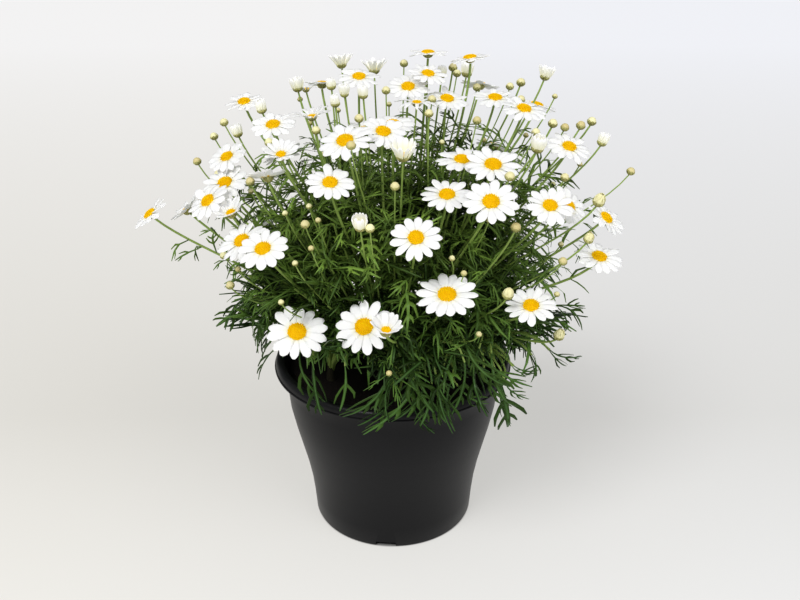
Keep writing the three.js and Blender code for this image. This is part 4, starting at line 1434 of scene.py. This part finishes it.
def addBloom(forms, made, head):
    kind, way, tag = head["kind"], head["way"], regionTags[head["region"]]
    reach = head["width"] / 2
    radius = reach * disc["share"]
    fewest, counts = petal["counts"]
    count = fewest + int(draw(head["number"] * 11) * counts)
    rise, curl = petal["curls"][kind]
    if head.get("node") in heads["opening"]:
        rise, curl = heads["opening"][head["node"]], petal["openingCurl"]
        radius *= petal["openingDisc"]
    breadth = 2 * math.pi * reach * petal["lap"] / count
    made["petals_" + tag] += petalRing(
        forms["petal"], head, count, reach, radius * petal["foot"], rise, curl, 0, breadth)
    made["discs_" + tag] += discCopies(forms, head, radius, 0.2)
    base, deep = head["place"] - way * calyx["drop"], calyx["deep"]
    cupRadius = calyx["radii"][kind]
    points = placeTurned(forms["cup"], base + way * deep, way, (cupRadius, cupRadius, deep))
    made["calyxes"].append((forms["cup"], points, draw(head["number"])))
    made["calyxes"] += bractRows(
        forms["bract"], head, base,
        lambda level: roundReach(cupRadius, 1 - np.clip(level, 0, deep) / deep, 0.02),
        calyx["bloomRows"])


def addBud(forms, made, head):
    radius, way, foot = head["width"] * 0.5, head["way"], head["foot"]
    middle = radius * calyx["budMiddle"]
    scale = (radius, radius, radius * calyx["budHigh"])
    points = placeTurned(forms["ball"], foot + way * middle, way, scale, head["number"])
    made["budBalls"].append((forms["ball"], points, draw(head["number"])))
    made["calyxes"] += bractRows(
        forms["bract"], head, foot, lambda level: roundReach(radius, (level - middle) / radius),
        calyx["budRows"], radius)


def addCup(forms, made, head):
    way, tag = head["way"], regionTags[head["region"]]

    def grown(name, size=1):
        shut, more = halfOpen[name]
        return shut * size + more * head["opened"]

    radius = head["width"] * grown("radius")
    deep = radius * halfOpen["deep"]
    top = head["foot"] + way * deep
    points = placeTurned(forms["cup"], top, way, (radius, radius, radius * halfOpen["bowlHigh"]))
    made["calyxes"].append((forms["cup"], points, draw(head["number"])))
    made["calyxes"] += bractRows(
        forms["bract"], head, head["foot"],
        lambda level: roundReach(radius, 1 - np.clip(level / deep, 0, 1)), calyx["cupRows"], radius)
    crown = dict(head, place=top)
    foot = radius * halfOpen["petalFoot"]
    ring = petalRing(
        forms["petal"], crown, halfOpen["petals"], grown("petalTall", radius) + foot, foot,
        grown("petalRise"), grown("petalCurl"), halfOpen["petalLift"] * radius,
        radius * halfOpen["petalWide"])
    if head["opened"] > halfOpen["asBloom"]:
        made["petals_" + tag] += ring
    elif head["opened"] > halfOpen["asCrown"]:
        made["crowns"] += ring
    else:
        made["budBalls"] += [(form, points, 0.7 + 0.3 * tone) for form, points, tone in ring]
    if head["opened"] > halfOpen["discFrom"]:
        made["discs_" + tag] += discCopies(forms, crown, radius * grown("disc"), 0)
    else:
        wide, high = halfOpen["shut"]
        points = placeTurned(forms["ball"], top, way, (radius * wide, radius * wide, radius * high))
        made["budBalls"].append((forms["ball"], points, 1))


def makeHeadPieces():
    forms = {
        "petal": modelPetal(), "dome": halfBall(18, 1), "floret": modelFloret(),
        "cup": halfBall(14, -1), "bract": modelBract(), "ball": modelBudBall()}
    # name, finish, slot and replaced nodes of each piece
    pieces = []
    for region, tag in enumerate(regionTags):
        nodes = [bloom["node"] for bloom in blooms if bloom["region"] == region]
        pieces += [("petals_" + tag, "petal", "petals", nodes), ("discs_" + tag, "disc", "petals", [])]
    pieces += [
        ("calyxes", "calyx", "foliage", []), ("crowns", "crown", "petals", []),
        ("budBalls", "bud", "petals", [])]
    made = {name: [] for name, finish, slot, nodes in pieces}
    adders = {"bloom": addBloom, "young": addBloom, "bud": addBud, "cup": addCup}
    for head in allHeads:
        adders[head["kind"]](forms, made, head)
    for name, finish, slot, nodes in pieces:
        buildPiece(name, made[name], finish, nodes)
    print("copies in heads", sum(len(copies) for copies in made.values()))


# Studio: a pale sweep under soft light
studio = {
    "floor": 12,
    "floorColour": (0.30, 0.297, 0.29),
    # painted glow of the floor, light painted on that fills its shadows, at metres behind the pot's
    # axis, and its tints to the left and to the right
    "glow": [(-0.35, (0.53, 0.527, 0.518)), (0.15, (0.374, 0.368, 0.351)), (2.4, (0.475, 0.48, 0.505))],
    "tints": [(1.0, 0.985, 0.945), (0.96, 0.97, 0.995)],
    "aside": (-0.35, 0.35),
    "under": (0.0712, 0.0732),  # metres from the pot's axis, where the floor's painted glow begins; the unlit ring inside it is a painted contact shadow at the pot's foot
    "away": (3.7, 5.8),  # metres from the pot's axis, where the floor fades into the air
    "distant": (0.522, 0.527, 0.532),
    "world": (0.97, 0.98, 1.0),
    "worldStrength": 0.39,
    "backdrop": (0.80, 0.805, 0.81),  # the air as the camera sees it
    # power, spread and turns in degrees: down from the zenith, then about it
    "suns": [(1.6, 26, (40, 0, -35)), (0.75, 40, (52, 0, 45))],
}


def makeFloor():
    bpy.ops.mesh.primitive_plane_add(size=studio["floor"])
    floor = bpy.context.object
    floor.name = "floor"
    # The floor glows: painted light that fills its shadows, ramped by depth, tinted left and right, and
    # fading into the air far away
    material, tree, shader = newFinish("paleSweep", 0.9, 0.1)
    shader.inputs["Base Color"].default_value = (*studio["floorColour"], 1)
    (start, near), *between, (end, last) = studio["glow"]
    left, right = studio["tints"]
    spot = addNode(tree, "TexCoord")
    split = addNode(tree, "SeparateXYZ")
    far = addRange(tree, start, end)
    glow = addNode(tree, "ValToRGB")
    stops = glow.color_ramp.elements
    stops[0].color = (*near, 1)
    stops[-1].color = (*last, 1)
    for place, colour in between:
        stops.new((place - start) / (end - start)).color = (*colour, 1)
    aside = addRange(tree, *studio["aside"])
    tint = addMix(tree, {6: (*left, 1), 7: (*right, 1)})
    tinted = addMix(tree, {0: 1}, blend_type="MULTIPLY")
    reach = addNode(tree, "VectorMath", operation="LENGTH")
    away = addRange(tree, *studio["away"])
    distant = addMix(tree, {7: (*studio["distant"], 1)})
    # the glow fades out at the pot's foot: a painted contact shadow
    under = addRange(tree, *studio["under"])
    wire(
        tree, (spot, "Object", split, 0), (split, "Y", far, "Value"), (far, "Result", glow, 0),
        (split, "X", aside, "Value"), (aside, "Result", tint, 0), (glow, 0, tinted, 6),
        (tint, 2, tinted, 7), (spot, "Object", reach, 0), (reach, "Value", away, "Value"),
        (away, "Result", distant, 0), (tinted, 2, distant, 6), (distant, 2, shader, "Emission Color"),
        (reach, "Value", under, "Value"), (under, "Result", shader, "Emission Strength"))
    floor.data.materials.append(material)


def makeAir():
    world = bpy.data.worlds.new("studioAir")
    world.use_nodes = True
    tree = world.node_tree
    air = tree.nodes["Background"]
    air.inputs["Color"].default_value = (*studio["world"], 1)
    air.inputs["Strength"].default_value = studio["worldStrength"]
    backdrop = addNode(tree, "Background", {"Color": (*studio["backdrop"], 1)})
    path = addNode(tree, "LightPath")
    seen = addNode(tree, "MixShader")
    wire(
        tree, (path, "Is Camera Ray", seen, 0), (air, 0, seen, 1), (backdrop, 0, seen, 2),
        (seen, 0, tree.nodes["World Output"], "Surface"))
    bpy.context.scene.world = world


def makeSuns():
    for index, (power, spread, turns) in enumerate(studio["suns"]):
        bpy.ops.object.light_add(
            type="SUN", location=(0, 0, 2), rotation=[math.radians(turn) for turn in turns])
        lamp = bpy.context.object
        lamp.name = "softSun_%d" % (index + 1)
        lamp.data.energy = power
        lamp.data.angle = math.radians(spread)


makePot()
makeSoil()
makeWood()
makeFoliage()
makeHeadPieces()
makeFloor()
makeAir()
makeSuns()
bpy.context.scene.view_settings.view_transform = "Standard"
bpy.context.scene.view_settings.look = "Medium High Contrast"
